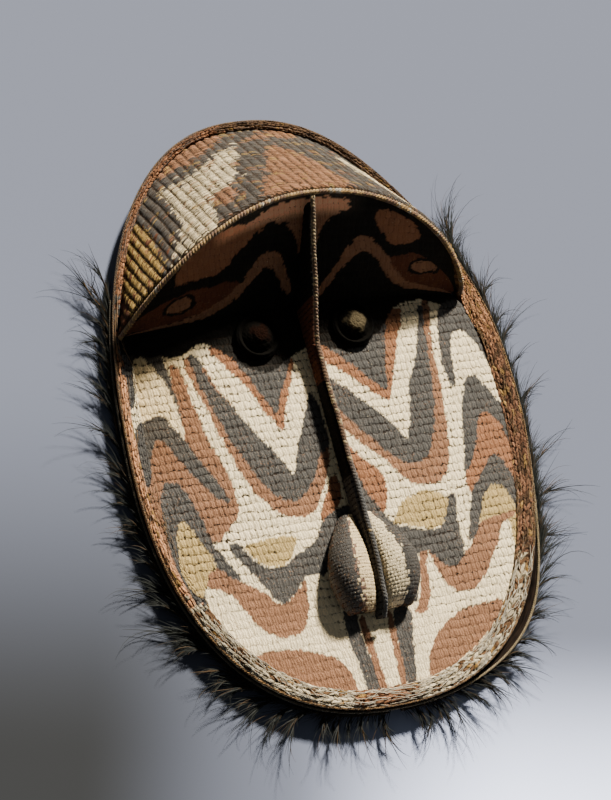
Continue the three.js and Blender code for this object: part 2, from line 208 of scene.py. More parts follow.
def face_height(x, y):
    """Height of the face panel over the plane that the mask rests on."""
    radius = np.minimum(oval_radius(x, y), 1)
    return EDGE_HEIGHT + FACE_BULGE * (1 - radius**BULGE_POWER)


def hood_point(u, s, inset=HOOD_INSET):
    """Point of the hood: u runs along the rim from corner to corner, s from the rim to the brow."""
    u, s = np.broadcast_arrays(np.asarray(u, float), np.asarray(s, float))
    angle = 90 - u * (90 - CORNER_ANGLE)
    x, y, _, _ = oval_point(angle)
    start_x, start_y, _, _ = rim_point(angle, inset)
    rise = part_way(y, CORNER_Y, HALF_LENGTH)
    reach = 1 - (1 - rise) ** BROW_SWEEP
    start = np.stack([start_x, start_y, np.full_like(x, EDGE_HEIGHT)], -1)
    brow = np.stack([x, y, np.full_like(x, RIM_PLANE)], -1) + RULING * reach[..., None]
    return start + (brow - start) * s[..., None]


def hood_normal(u, s):
    """Direction out of the hood."""
    step = 0.01
    along = hood_point(u + step, s) - hood_point(u - step, s)
    return unit(np.cross(RULING_UNIT, along))


def brow_cord_point(u):
    """Middle of the cord on the edge of the brow."""
    reach = BROW_CORD_RADIUS + CLEARANCE
    return hood_point(u, 1) - hood_normal(u, 1) * PANEL / 2 + RULING_UNIT * reach


def band_inset(angle, z):
    """Inset of the bark strip, which leans inwards and stands off at the lower right."""
    flare = BAND_FLARE * np.exp(-(((angle - FLARE_ANGLE) / FLARE_SPREAD) ** 2))
    lean = BAND_LEAN * (BAND_TOP - z) / (BAND_TOP - BAND_BOTTOM)
    return CLEARANCE + lean - flare


# ---- Meshes


def noise(x, y, scale, seed=0.0):
    """Soft uneven values from -1 to 1 over a plane, from a few crossing waves."""
    x, y = np.asarray(x) / scale, np.asarray(y) / scale
    total = np.sin(1.7 * x + 2.3 * y + seed) + np.sin(-2.9 * x + 1.3 * y + 2.1 * seed + 1)
    total += np.sin(4.1 * x - 3.7 * y + 0.7 * seed + 2) * 0.6 + np.sin(6.3 * x + 5.9 * y - seed) * 0.4
    return total / 3


def scatter(i, j, seed=0.0):
    """An uneven number from 0 to 1 for each pair of whole numbers."""
    value = np.sin(i * 12.9898 + j * 78.233 + seed * 37.719) * 43758.5453
    return value - np.floor(value)


def grid_faces(rows, columns, start=0, closed=False, flip=False):
    """Quads of a grid of points, row after row; closed joins the last column to the first."""
    across = columns if closed else columns - 1
    i, j = np.meshgrid(np.arange(rows - 1), np.arange(across), indexing="ij")
    k = (j + 1) % columns
    quads = np.stack([i * columns + j, i * columns + k, (i + 1) * columns + k, (i + 1) * columns + j], -1)
    quads = quads.reshape(-1, 4) + start
    return quads[:, ::-1] if flip else quads


def ring_faces(rows, columns, flip=False):
    """Quads of a tube that closes on itself both ways."""
    j = np.arange(columns)
    k = (j + 1) % columns
    last = (rows - 1) * columns
    seam = np.stack([last + j, last + k, k, j], -1)
    return np.vstack([grid_faces(rows, columns, closed=True, flip=flip), seam[:, ::-1] if flip else seam])


def bridge_faces(first, second, flip=False):
    """Quads between two lines of point numbers."""
    quads = np.stack([first[:-1], first[1:], second[1:], second[:-1]], -1)
    return quads[:, ::-1] if flip else quads


def edge_faces(fine, coarse, flips):
    """Quads that join a fine skin to a coarse one: at its first and last column, then its first and last row."""
    lines = (np.s_[:, 0], np.s_[:, -1], np.s_[0], np.s_[-1])
    return np.vstack([bridge_faces(fine[line], coarse[line], flip) for line, flip in zip(lines, flips)])


def stacked(*parts, wide=1):
    """Values of the skins of a piece in one list, with a row to each point."""
    return np.concatenate([np.asarray(part, float).reshape(-1, wide) for part in parts])


def some_of(count, step):
    """Numbers below count at even steps, and the last one."""
    return np.unique([*range(0, count, step), count - 1])


def add_piece(name, node, slot, points, quads, material, **attributes):
    """Makes the mesh from millimetre points, and lets it ride on the frame in place of its node."""
    points = (np.asarray(points, float).reshape(-1, 3) + SHIFT) / 1000
    mesh = bpy.data.meshes.new(name)
    mesh.vertices.add(len(points))
    mesh.vertices.foreach_set("co", points.astype(np.float32).ravel())
    mesh.loops.add(quads.size)
    mesh.loops.foreach_set("vertex_index", quads.astype(np.int32).ravel())
    mesh.polygons.add(len(quads))
    mesh.polygons.foreach_set("loop_start", np.arange(0, quads.size, 4, dtype=np.int32))
    mesh.polygons.foreach_set("use_smooth", np.ones(len(quads), bool))
    mesh.update(calc_edges=True)
    for key, values in attributes.items():
        values = np.asarray(values, np.float32).reshape(len(points), -1)
        if values.shape[1] == 3:
            layer = mesh.attributes.new(key, "FLOAT_COLOR", "POINT")
            layer.data.foreach_set("color", np.insert(values, 3, 1, axis=1).ravel())
        else:
            layer = mesh.attributes.new(key, "FLOAT", "POINT")
            layer.data.foreach_set("value", values.ravel())
    if mesh.validate():
        raise RuntimeError(f"{name} has faces that share no area")
    mesh.materials.append(material)
    piece = bpy.data.objects.new(name, mesh)
    bpy.context.scene.collection.objects.link(piece)
    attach(piece, "root")
    if node:
        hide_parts(node)


def add_panel(name, node, slot, outer, inner, quads, material, colour, bare, across, along, mirror=1, **more):
    """Adds a piece with a stitched outer skin and a plain inner one of a bare colour."""
    paint = stacked(colour, np.broadcast_to(bare, inner.shape), wide=3)
    points = stacked(outer, inner, wide=3) * np.array([mirror, 1, 1])
    add_piece(name, node, slot, points, np.vstack(quads), material, paint=paint,
              across=stacked(across, inner[..., 0]), along=stacked(along, inner[..., 1]), **more)


def directions(path, side, closed=False):
    """Two directions across a path at each point, the second one nearest to its side direction."""
    run = unit(np.roll(path, -1, 0) - np.roll(path, 1, 0) if closed else np.gradient(path, axis=0))
    up = unit(np.asarray(side, float) - (run @ np.asarray(side, float))[:, None] * run)
    return np.cross(run, up), up


class Strands:
    """Collects the tubes and ribbons of one piece, each point with its colour and its place on the thread."""

    def __init__(self):
        self.points, self.quads, self.paint, self.thread = [], [], [], []
        self.count = 0

    def add(self, points, quads, paint, thread=(0, 0)):
        """Adds points with their quads; thread is the place along and around a strand."""
        points = np.asarray(points, float).reshape(-1, 3)
        self.points.append(points)
        self.quads.append(quads + self.count)
        self.paint.append(np.broadcast_to(np.asarray(paint, float), points.shape))
        self.thread.append(np.broadcast_to(np.asarray(thread, float), (len(points), 2)))
        self.count += len(points)

    def strip(self, rings, quads, paint, length, corner):
        """Long strip with a line of points to each corner of its profile."""
        thread = np.stack(np.broadcast_arrays(length[:, None], np.arange(len(rings)) * corner), -1)
        self.add(np.stack(rings, 1), quads, paint, thread.reshape(-1, 2))

    def tube(self, path, radius, paint, side=UP, sides=8, closed=False):
        """Adds a tube along a path, with one colour or a colour to each point of the path."""
        wide, up = directions(path, side, closed)
        turn = np.arange(sides) / sides * 2 * math.pi
        ring = np.cos(turn)[:, None] * wide[:, None] + np.sin(turn)[:, None] * up[:, None]
        ring = ring * np.broadcast_to(radius, len(path))[:, None, None]
        thread = np.stack(np.broadcast_arrays(walked(path)[:, None], turn), -1).reshape(-1, 2)
        if np.ndim(paint) == 2:
            paint = np.repeat(paint, sides, 0)
        quads = ring_faces(len(path), sides) if closed else grid_faces(len(path), sides, closed=True)
        self.add(path[:, None] + ring, quads, paint, thread)

    def finish(self, name, node, slot, material):
        along, around = np.vstack(self.thread).T
        add_piece(
            name, node, slot, np.vstack(self.points), np.vstack(self.quads), material,
            paint=np.vstack(self.paint), groove=np.ones(self.count), along=along, around=around,
        )


# ---- Paint


def linear(colour):
    """Scene colour of an ordinary 0 to 255 colour."""
    value = np.asarray(colour, float) / 255
    return np.where(value <= 0.04045, value / 12.92, ((value + 0.055) / 1.055) ** 2.4)


# Painted areas of the face, in millimetres, each laid over the ones before it on a white ground
FACE_AREAS = [
    ("grey", [(-170, 80), (-128, 80), (-119, 45), (-117, 25), (-115, 5), (-117, -8), (-119, 0), (-121, 20),
        (-126, 38), (-131, 53), (-141, 62), (-148, 50), (-150, 25), (-156, 15), (-168, 14)]),
    ("orange", [(-119, 50), (-109, 47), (-107, 15), (-104, -5), (-100, -25), (-95, -42), (-91, -58), (-91, -77),
        (-98, -88), (-108, -95), (-116, -103), (-126, -90), (-150, -60), (-152, -90), (-150, -150), (-172, -130),
        (-176, -60), (-166, -34), (-157, -40), (-151, -22), (-141, -6), (-130, -20), (-118, -20)]),
    ("grey", [(-141, 9), (-131, 8), (-127, -3), (-120, -14), (-116, -24), (-110, -38), (-103, -52), (-98, -64),
        (-97, -74), (-103, -69), (-111, -58), (-121, -44), (-129, -30), (-134, -18), (-141, -8), (-147, -18),
        (-151, -30), (-155, -44), (-160, -50), (-163, -36), (-161, -15), (-159, -2), (-152, 6)]),
    ("grey", [(-141, -44), (-133, -49), (-127, -60), (-122, -80), (-119, -100), (-112, -115), (-104, -128),
        (-103, -136), (-109, -131), (-120, -121), (-128, -110), (-134, -120), (-132, -150), (-138, -166),
        (-146, -150), (-151, -130), (-154, -105), (-154, -80), (-151, -60), (-147, -49)]),
    ("yellow", [(-139, -76), (-133, -83), (-128, -97), (-122, -110), (-120, -121), (-131, -131), (-136, -142),
        (-143, -138), (-149, -125), (-150, -112), (-146, -100), (-144, -88)]),
    ("orange", [(-120, -118), (-111, -129), (-102, -135), (-92, -141), (-84, -151), (-76, -158), (-68, -155),
        (-60, -148), (-52, -139), (-53, -155), (-57, -170), (-63, -180), (-74, -184), (-86, -181), (-95, -174),
        (-102, -164), (-108, -152), (-114, -141), (-122, -136), (-132, -133), (-131, -127)]),
    ("grey", [(-107, -102), (-99, -104), (-93, -113), (-88, -121), (-80, -128), (-66, -128), (-57, -122),
        (-45, -117), (-36, -111), (-29, -101), (-26, -94), (-14, -90), (4, -88), (4, -140), (-40, -140),
        (-50, -138), (-56, -143), (-64, -151), (-74, -159), (-82, -151), (-88, -139), (-97, -124), (-104, -113)]),
    ("yellow", [(-96, -105), (-50, -104), (-53, -112), (-58, -121), (-66, -127), (-80, -127), (-88, -120),
        (-93, -112)]),
    ("rust", [(-10, -62), (-17, -75), (-25, -86), (-29, -99), (-22, -95), (-14, -90), (-6, -84), (-4, -64)]),
    ("orange", [(-108, 52), (-103, 30), (-99, 15), (-95, 0), (-92, -18), (-87, -35), (-82, -52), (-77, -66),
        (-68, -78), (-58, -88), (-46, -93), (-36, -93), (-28, -85), (-19, -72), (-12, -60), (-4, -40), (-14, -36),
        (-19, -52), (-46, -70), (-80, -20), (-90, 54)]),
    ("grey", [(-102, 54), (-92, 54), (-80, 20), (-60, -10), (-41, -40), (-20, -10), (-6, 16), (-2, -40), (-12, -42),
        (-19, -52), (-26, -65), (-34, -74), (-46, -80), (-57, -74), (-66, -64), (-72, -52), (-78, -38), (-86, -20),
        (-90, -2), (-95, 15), (-99, 32)]),
    ("orange", [(-93, 44), (-86, 38), (-76, 14), (-72, 2), (-78, 8), (-84, 18), (-90, 30)]),
    ("white", [(-97, 58), (-92, 46), (-87, 28), (-80, 13), (-71, -4), (-63, -20), (-53, -34), (-46, -47),
        (-41, -60), (-36, -47), (-31, -34), (-24, -20), (-14, -2), (-8, 12), (-8, 34), (-18, 40), (-41, 0),
        (-72, 60)]),
    ("rust", [(-86, 58), (-75, 40), (-66, 29), (-58, 14), (-51, -3), (-46, -13), (-40, -22), (-35, -10), (-30, 3),
        (-25, 12), (-20, 24), (-14, 40), (-22, 36), (-40, 10), (-64, 60)]),
    ("grey", [(-72, 62), (-63, 36), (-56, 26), (-51, 14), (-47, 3), (-42, -7), (-38, 0), (-34, 8), (-27, 20),
        (-20, 34), (-14, 44), (-40, 60)]),
    ("grey", [(126, 66), (142, 80), (180, 80), (180, 0), (172, -26), (160, -20), (120, -8), (116, 5), (115, 20),
        (118, 38), (121, 52)]),
    ("white", [(141, 47), (132, 44), (129, 34), (126, 22), (124, 8), (123, -2), (108, -12), (104, -40), (118, -40),
        (120, -22), (127, -8), (132, 0), (138, 6), (144, 5), (149, -1), (154, -9), (159, -17), (164, -23),
        (171, -28), (168, -10), (165, 2), (161, 14), (157, 27), (152, 38), (147, 44)]),
    ("grey", [(138, 6), (132, 0), (126, -12), (121, -22), (117, -36), (115, -50), (110, -64), (105, -80),
        (117, -76), (128, -60), (134, -36), (141, -28), (150, -32), (156, -50), (160, -80), (178, -80), (178, -30),
        (168, -28), (163, -23), (154, -11), (148, -1)]),
    ("rust", [(141, -26), (134, -32), (130, -42), (126, -53), (121, -62), (114, -70), (107, -78), (106, -88),
        (109, -94), (120, -86), (130, -76), (141, -66), (148, -76), (153, -90), (157, -105), (160, -122),
        (170, -122), (172, -90), (164, -82), (160, -62), (158, -50), (155, -38), (150, -30)]),
    ("grey", [(140, -62), (134, -66), (128, -73), (121, -80), (113, -88), (107, -97), (101, -112), (96, -126),
        (95, -134), (101, -130), (106, -122), (116, -108), (140, -100), (138, -145), (133, -160), (137, -166),
        (146, -150), (152, -132), (156, -115), (156, -98), (153, -82), (148, -69)]),
    ("yellow", [(132, -88), (124, -91), (118, -99), (114, -108), (107, -119), (125, -118), (138, -116), (137, -140),
        (140, -148), (145, -132), (148, -118), (148, -110), (145, -99), (140, -91)]),
    ("orange", [(109, -117), (125, -115), (140, -112), (148, -111), (142, -118), (134, -119), (127, -125),
        (122, -135), (115, -145), (107, -155), (99, -164), (88, -172), (75, -172), (67, -166), (62, -156),
        (59, -146), (55, -135), (60, -139), (67, -146), (75, -149), (82, -147), (88, -140), (96, -137),
        (102, -127)]),
    ("orange", [(56, -134), (47, -136), (45, -145), (43, -155), (42, -165), (37, -175), (30, -183), (40, -183),
        (46, -177), (50, -166), (51, -152), (53, -142)]),
    ("grey", [(3, -50), (9, -55), (13, -67), (16, -80), (21, -91), (26, -99), (30, -106), (36, -111), (46, -115),
        (58, -118), (68, -119), (76, -115), (81, -107), (83, -95), (88, -91), (93, -92), (91, -105), (89, -120),
        (89, -138), (85, -145), (80, -149), (72, -150), (66, -147), (60, -140), (55, -134), (45, -136), (42, -150),
        (40, -165), (34, -176), (20, -172), (0, -172)]),
    ("yellow", [(30, -108), (37, -101), (45, -93), (54, -88), (66, -86), (78, -89), (86, -94), (82, -105),
        (78, -112), (72, -117), (62, -118), (52, -115), (42, -112)]),
    ("rust", [(3, -22), (8, -33), (14, -44), (22, -54), (31, -63), (35, -72), (34, -84), (29, -96), (25, -99),
        (21, -91), (16, -80), (13, -67), (9, -55), (3, -50)]),
    ("orange", [(2, 8), (3, -16), (10, -27), (20, -38), (30, -48), (40, -58), (47, -67), (54, -76), (62, -81),
        (74, -82), (84, -80), (91, -74), (97, -64), (101, -48), (104, -30), (107, -10), (109, 12), (110, 32),
        (113, 50), (122, 74), (112, 76), (104, 50), (96, 0), (80, -40), (50, -50), (16, -8)]),
    ("grey", [(2, 8), (8, -5), (15, -15), (22, -25), (30, -34), (38, -44), (45, -53), (53, -60), (62, -64),
        (70, -63), (77, -59), (83, -52), (88, -42), (93, -30), (97, -18), (100, -5), (103, 10), (105, 25),
        (107, 40), (109, 55), (114, 72), (104, 70), (84, 20), (64, -30), (40, 0), (4, 22)]),
    ("white", [(4, 22), (8, 18), (15, 14), (21, 9), (28, 1), (34, -6), (41, -12), (48, -19), (53, -25), (58, -34),
        (63, -43), (67, -36), (70, -28), (73, -16), (77, -2), (82, 9), (88, 19), (93, 29), (98, 40), (102, 50),
        (106, 62), (108, 74), (92, 76), (60, 10), (40, 20), (4, 46)]),
    ("rust", [(6, 46), (24, 52), (42, 34), (55, 14), (60, 26), (66, 50), (76, 70), (94, 68), (84, 50), (78, 39),
        (74, 28), (69, 17), (65, 8), (60, -4), (57, -9), (48, -3), (39, 6), (30, 15), (20, 24), (9, 31)]),
    ("grey", [(14, 46), (20, 37), (31, 28), (40, 18), (50, 7), (57, 0), (60, 6), (62, 18), (65, 30), (69, 44),
        (76, 60), (40, 60)]),
    ("orange", [(-110, -195), (-98, -191), (-85, -191), (-70, -194), (-58, -198), (-46, -203), (-38, -209),
        (-33, -217), (-30, -227), (-29, -241), (-42, -240), (-63, -230), (-80, -220), (-98, -206)]),
    ("orange", [(32, -236), (34, -222), (38, -212), (44, -203), (52, -196), (62, -190), (75, -185), (90, -183),
        (105, -181), (113, -183), (112, -190), (105, -197), (90, -208), (70, -220), (50, -230)]),
    ("grey", [(-30, -170), (-17, -170), (-18, -190), (-8, -244), (-21, -244), (-25, -214), (-29, -190)]),
    ("orange", [(-18, -176), (-11, -176), (-10, -194), (-3, -244), (-9, -244), (-14, -212)]),
    ("orange", [(7, -176), (12, -176), (13, -210), (12, -244), (8, -244), (6, -210)]),
    ("grey", [(12, -172), (31, -176), (26, -200), (22, -220), (20, -244), (12, -244), (13, -210)]),
    # Black paint under the brow, drawn down to where the brow's shadow ends, so partly painted shade
    ("black", [(-176, 66), (-150, 62), (-125, 57), (-105, 52), (-96, 60), (-84, 60), (-74, 52), (-66, 44),
        (-58, 35), (-45, 30), (-32, 30), (-22, 37), (-12, 42), (0, 45), (12, 45), (22, 40), (34, 37), (48, 40),
        (58, 46), (68, 53), (80, 66), (96, 74), (116, 76), (128, 69), (142, 74), (160, 76), (180, 77), (180, 120),
        (-176, 120)]),
]

# Painted areas under the brow: along it from corner to corner, and from the crease to the edge
UNDER_AREAS = [
    ("brown", [(-0.99, 0.08), (-0.66, 0.07), (-0.47, 0.17), (-0.31, 0.29), (-0.38, 0.38), (-0.55, 0.40),
        (-0.6, 0.46), (-0.75, 0.5), (-0.99, 0.6)]),
    ("brown", [(0.99, 0.14), (0.66, 0.14), (0.54, 0.22), (0.46, 0.44), (0.52, 0.52), (0.6, 0.6), (0.7, 0.63),
        (0.99, 0.62)]),
    ("orange", [(-0.99, 0.1), (-0.82, 0.07), (-0.65, 0.07), (-0.49, 0.16), (-0.33, 0.3), (-0.24, 0.46),
        (-0.17, 0.54), (-0.11, 0.5), (-0.07, 0.32), (-0.03, 0.12), (-0.07, 0.12), (-0.12, 0.3), (-0.17, 0.42),
        (-0.25, 0.32), (-0.33, 0.2), (-0.47, 0.07), (-0.65, 0.0), (-0.82, 0.0), (-0.99, 0.02)]),
    ("orange", [(0.99, 0.21), (0.8, 0.21), (0.65, 0.22), (0.57, 0.3), (0.48, 0.46), (0.4, 0.54), (0.33, 0.61),
        (0.27, 0.62), (0.22, 0.5), (0.17, 0.3), (0.12, 0.16), (0.06, -0.02), (0.1, 0.0), (0.15, 0.12), (0.22, 0.3),
        (0.28, 0.46), (0.33, 0.48), (0.42, 0.4), (0.5, 0.28), (0.58, 0.16), (0.68, 0.12), (0.84, 0.12),
        (0.99, 0.11)]),
    ("black", [(-0.78, 0.31), (-0.75, 0.43), (-0.68, 0.47), (-0.6, 0.42), (-0.57, 0.31), (-0.61, 0.2),
        (-0.69, 0.17), (-0.75, 0.21)]),
    ("black", [(0.59, 0.44), (0.64, 0.57), (0.75, 0.68), (0.82, 0.65), (0.8, 0.5), (0.73, 0.38), (0.64, 0.33)]),
    ("orange", [(-0.75, 0.31), (-0.73, 0.4), (-0.68, 0.43), (-0.62, 0.39), (-0.6, 0.31), (-0.63, 0.23),
        (-0.69, 0.21), (-0.73, 0.24)]),
    ("orange", [(0.62, 0.45), (0.66, 0.54), (0.74, 0.63), (0.79, 0.61), (0.77, 0.5), (0.72, 0.41), (0.65, 0.38)]),
    ("rust", [(-0.69, 0.71), (-0.65, 0.89), (-0.45, 0.93), (-0.29, 0.86), (-0.13, 0.79), (-0.29, 0.68),
        (-0.41, 0.49), (-0.51, 0.51), (-0.6, 0.58), (-0.68, 0.63)]),
    ("rust", [(0.31, 0.88), (0.45, 0.92), (0.6, 0.86), (0.58, 0.72), (0.5, 0.62), (0.44, 0.61), (0.38, 0.68),
        (0.33, 0.76)]),
    ("orange", [(-0.3, 0.78), (-0.22, 0.9), (0.0, 0.93), (0.16, 0.91), (0.2, 0.84), (0.1, 0.78), (0.06, 0.6),
        (0.03, 0.4), (0.0, 0.4), (-0.03, 0.6), (-0.08, 0.78)]),
]

# Painted areas of the hood, along the rim and from the rim to the brow, on a grey ground
HOOD_AREAS = [
    ("yellow", [(-1.02, -0.1), (-0.64, -0.1), (-0.62, 0.3), (-0.64, 0.6), (-0.68, 1.1), (-1.02, 1.1)]),
    ("brown", [(-1.02, -0.1), (-0.86, -0.1), (-0.88, 0.5), (-0.9, 1.1), (-1.02, 1.1)]),
    ("orange", [(-0.47, -0.1), (-0.04, -0.1), (-0.08, 0.02), (-0.14, 0.12), (-0.25, 0.2), (-0.36, 0.12),
        (-0.44, 0.02)]),
    ("white", [(-0.49, 0.1), (-0.44, 0.22), (-0.38, 0.27), (-0.27, 0.3), (-0.17, 0.26), (-0.07, 0.19),
        (-0.09, 0.34), (-0.15, 0.45), (-0.18, 0.6), (-0.24, 0.69), (-0.33, 0.7), (-0.36, 0.85), (-0.41, 1.05),
        (-0.56, 1.05), (-0.65, 0.93), (-0.56, 0.82), (-0.51, 0.72), (-0.49, 0.5), (-0.48, 0.3)]),
    ("orange", [(-0.35, 0.69), (-0.24, 0.69), (-0.22, 0.78), (-0.29, 0.86), (-0.36, 0.83)]),
    ("orange", [(0.03, 0.27), (-0.01, 0.42), (-0.05, 0.6), (-0.12, 0.78), (-0.2, 1.05), (0.17, 1.05), (0.15, 0.7),
        (0.12, 0.5), (0.08, 0.33)]),
    ("orange", [(-0.03, 0.17), (0.06, 0.04), (0.16, -0.1), (0.25, -0.1), (0.2, 0.1), (0.14, 0.13), (0.05, 0.16)]),
    ("white", [(0.31, 0.28), (0.3, 0.38), (0.32, 0.5), (0.36, 0.64), (0.43, 0.95), (0.5, 0.9), (0.53, 0.7),
        (0.51, 0.5), (0.46, 0.36), (0.38, 0.26)]),
    ("yellow", [(1.02, -0.1), (0.7, -0.1), (0.67, 0.3), (0.69, 0.6), (0.73, 1.1), (1.02, 1.1)]),
]


def soften(outline, rounds=2):
    """Outline with its corners cut, as a brush rounds them."""
    points = np.asarray(outline, float)
    for _ in range(rounds):
        after = np.roll(points, -1, 0)
        points = np.stack([points * 0.75 + after * 0.25, points * 0.25 + after * 0.75], 1).reshape(-1, 2)
    return points


def within(outline, x, y):
    """Whether each point lies inside a closed outline."""
    inside = np.zeros(x.shape, bool)
    for (x0, y0), (x1, y1) in zip(outline, np.roll(outline, -1, 0)):
        if y0 == y1:
            continue
        crosses = (y0 > y) != (y1 > y)
        inside ^= crosses & (x < (x1 - x0) * (y - y0) / (y1 - y0) + x0)
    return inside


def paint_areas(areas, ground, x, y, paints):
    """Colour of each point, from the last painted area that it lies in."""
    colour = np.tile(paints[ground], x.shape + (1,))
    for name, outline in areas:
        colour[within(soften(outline), x, y)] = paints[name]
    return colour


# ---- Stitches


def stitches(across, along, row, stitch, lean):
    """Relief of a stitched panel: 0 in the gaps, 1 on the crowns, with each stitch's numbers."""
    row_number = np.floor(along / row)
    rise = along / row - row_number
    shift = ROW_SHIFT * np.sin(ROW_TURN * row_number) + 0.5 * (row_number % 2)
    place = (across + lean * (rise - 0.5) * row) / stitch + shift
    number = np.floor(place)
    turn = place - number
    crown = np.clip(4 * rise * (1 - rise), 0, 1) ** 0.5 * (1 - 0.7 * np.abs(2 * turn - 1) ** 2.6)
    return crown, row_number, number


def raised(crown, row, number, low, spread, seed, mean=0.6):
    """Height of stitches about their mean, each as tall as its own number says."""
    return crown * (low + spread * scatter(row, number, seed)) - mean


def jitter(row, number, seed, size):
    """A different small shift for each stitch, so that painted edges follow the stitches."""
    return (scatter(row, number, seed) - 0.5) * size


# ---- Materials


class Value:
    """Output of a shader node, which can be reckoned with like a number."""

    def __init__(self, look, socket):
        self.look, self.socket = look, socket

    def calc(self, operation, *others):
        """Result of a math node on this value and others."""
        return self.look.node("ShaderNodeMath", dict(enumerate((self, *others))), operation=operation)

    def __add__(self, other):
        return self.calc("ADD", other)

    def __sub__(self, other):
        return self.calc("SUBTRACT", other)

    def __mul__(self, other):
        return self.calc("MULTIPLY", other)

    def over(self, low, high, smooth=True):
        """0 at the low end and 1 at the high end, whichever is larger."""
        kind = "SMOOTHSTEP" if smooth else "LINEAR"
        return self.look.node("ShaderNodeMapRange", {0: self, 1: low, 2: high}, interpolation_type=kind)


class Look:
    """One material, with short ways to add the nodes that it is made of."""

    def __init__(self, name, roughness, specular):
        self.material = bpy.data.materials.new(name)
        self.material.use_nodes = True
        self.tree = self.material.node_tree
        self.shader = self.tree.nodes["Principled BSDF"]
        self.feed(self.shader, {"Roughness": roughness, "Specular IOR Level": specular})

    def feed(self, made, inputs):
        """Links or sets inputs of a node."""
        for key, value in inputs.items():
            if isinstance(value, Value):
                self.tree.links.new(value.socket, made.inputs[key])
            else:
                made.inputs[key].default_value = value

    def node(self, kind, inputs=None, output=0, **options):
        """Adds a node with its options and inputs, and gives one of its outputs."""
        made = self.tree.nodes.new(kind)
        for key, value in options.items():
            setattr(made, key, value)
        self.feed(made, inputs or {})
        return Value(self, made.outputs[output])

    def attribute(self, name, output="Fac"):
        return self.node("ShaderNodeAttribute", output=output, attribute_name=name)

    def cloud(self, scale, detail, rough=0.55):
        """Uneven values from 0 to 1 over the piece; scale is in features to the metre."""
        place = self.node("ShaderNodeTexCoord", output="Object")
        inputs = {"Vector": place, "Scale": scale, "Detail": detail, "Roughness": rough}
        return self.node("ShaderNodeTexNoise", inputs)

    def mix(self, share, first, second, blend="MIX"):
        inputs = {6: first, 7: second}
        inputs = {key: value if isinstance(value, Value) else (*value, 1.0) for key, value in inputs.items()}
        return self.node("ShaderNodeMix", {0: share, **inputs}, 2, data_type="RGBA", blend_type=blend)

    def toned(self, colour, *tones):
        """Colour times several values, each given with its lowest and highest strength."""
        total = 1.0
        for value, low, high in tones:
            total = (value * (high - low) + low) * total
        grey = self.node("ShaderNodeCombineColor", {0: total, 1: total, 2: total})
        return self.mix(1.0, colour, grey, "MULTIPLY")

    def bump(self, height, distance, strength, under=None, sunk=False):
        """Raises the surface by a height, over an earlier bump if there is one."""
        inputs = {"Height": height, "Distance": distance, "Strength": strength}
        if under is not None:
            inputs["Normal"] = under
        normal = self.node("ShaderNodeBump", inputs, invert=sunk)
        self.feed(self.shader, {"Normal": normal})
        return normal


def stitched(name, row, stitch, lean, bare, gap, worn, hole=1.0, seam=0.75, cross=0.35, wide=0.72, vary=1.0):
    """Matt earth paint on twined fibre: dark between the stitches, uneven and rubbed on them.

    Sizes are in millimetres. Gaps open at the corners of stitches (hole), between rows (seam) and
    between the stitches of a row (cross, from the share wide of a stitch on).
    """
    look = Look(name, 0.95, 0.12)
    paint = look.attribute("paint", "Color")
    calm = look.attribute("smear") * -0.8 + 1.0
    broad, drift = look.cloud(34, 4), look.cloud(260, 2)
    grain, hair = look.cloud(620, 3, 0.65), look.cloud(2600, 2, 0.6)
    wander = drift * 0.7 - 0.35
    # The same stitches as those of the mesh, with edges that wander
    line = look.attribute("along") * (1 / row) + wander
    number, rise = line.calc("FLOOR"), line.calc("FRACT")
    shift = (number * ROW_TURN).calc("SINE") * ROW_SHIFT + number.calc("MODULO", 2.0) * 0.5
    place = look.attribute("across") * (1 / stitch) + shift + (rise - 0.5) * (lean * row / stitch) - wander
    turn = place.calc("FRACT")
    which = look.node("ShaderNodeCombineXYZ", {0: place.calc("FLOOR"), 1: number})
    chance = look.node("ShaderNodeTexWhiteNoise", {0: which}, "Value")
    chances = look.node("ShaderNodeTexWhiteNoise", {0: which}, "Color")
    red, green, blue = (look.node("ShaderNodeSeparateColor", {0: chances}, part) for part in range(3))
    ragged = grain * 1.1 - 0.55
    side = (turn * 2.0 - 1.0).calc("ABSOLUTE") + ragged
    level = (rise * 2.0 - 1.0).calc("ABSOLUTE") + ragged
    between = side.over(wide, wide + 0.36) * (green * (cross * 1.3) + cross * 0.2)
    below = level.over(0.7, 1.05) * red * (seam * 1.6)
    corner = level.over(0.56, 0.78) * side.over(0.38, 0.66) * blue.over(0.5, 0.66) * hole
    dark = (below + between) * calm + corner * (calm * 0.5 + 0.5)
    dark = (dark + look.attribute("open") * level.over(0.35, 0.8)).calc("MAXIMUM", 0.0).calc("MINIMUM", 1.0)
    strands = (turn * 15.0 + hair * 6.0).calc("SINE") * 0.5 + 0.5
    colour = look.toned(
        paint, (broad, 0.86, 1.12), (grain, 0.78, 1.18), (hair, 0.84, 1.14), (strands, 0.95, 1.03),
        (chance, 1 - 0.12 * vary, 1 + 0.07 * vary),
    )
    # Paint has rubbed off down to the fibre, and chips show as pale specks, but not in the soot
    lit = look.node("ShaderNodeRGBToBW", {0: paint}).over(0.02, 0.07)
    rubbed = grain.over(0.56, 0.7) * broad.over(0.42, 0.64) * lit * worn
    speck = look.cloud(1150, 1).over(0.7, 0.76) * drift.over(0.44, 0.6) * lit * 0.75
    colour = look.mix(rubbed, colour, linear(bare))
    colour = look.mix(speck, colour, linear(CHIP_COLOUR))
    look.feed(look.shader, {"Base Color": look.mix(dark, colour, linear(gap))})
    low = look.bump(strands * 0.4 + hair, 0.0008, 0.9)
    low = look.bump(dark, 0.0009, 0.9, low, True)
    look.bump(grain, 0.0014, 0.75, low)
    return look.material


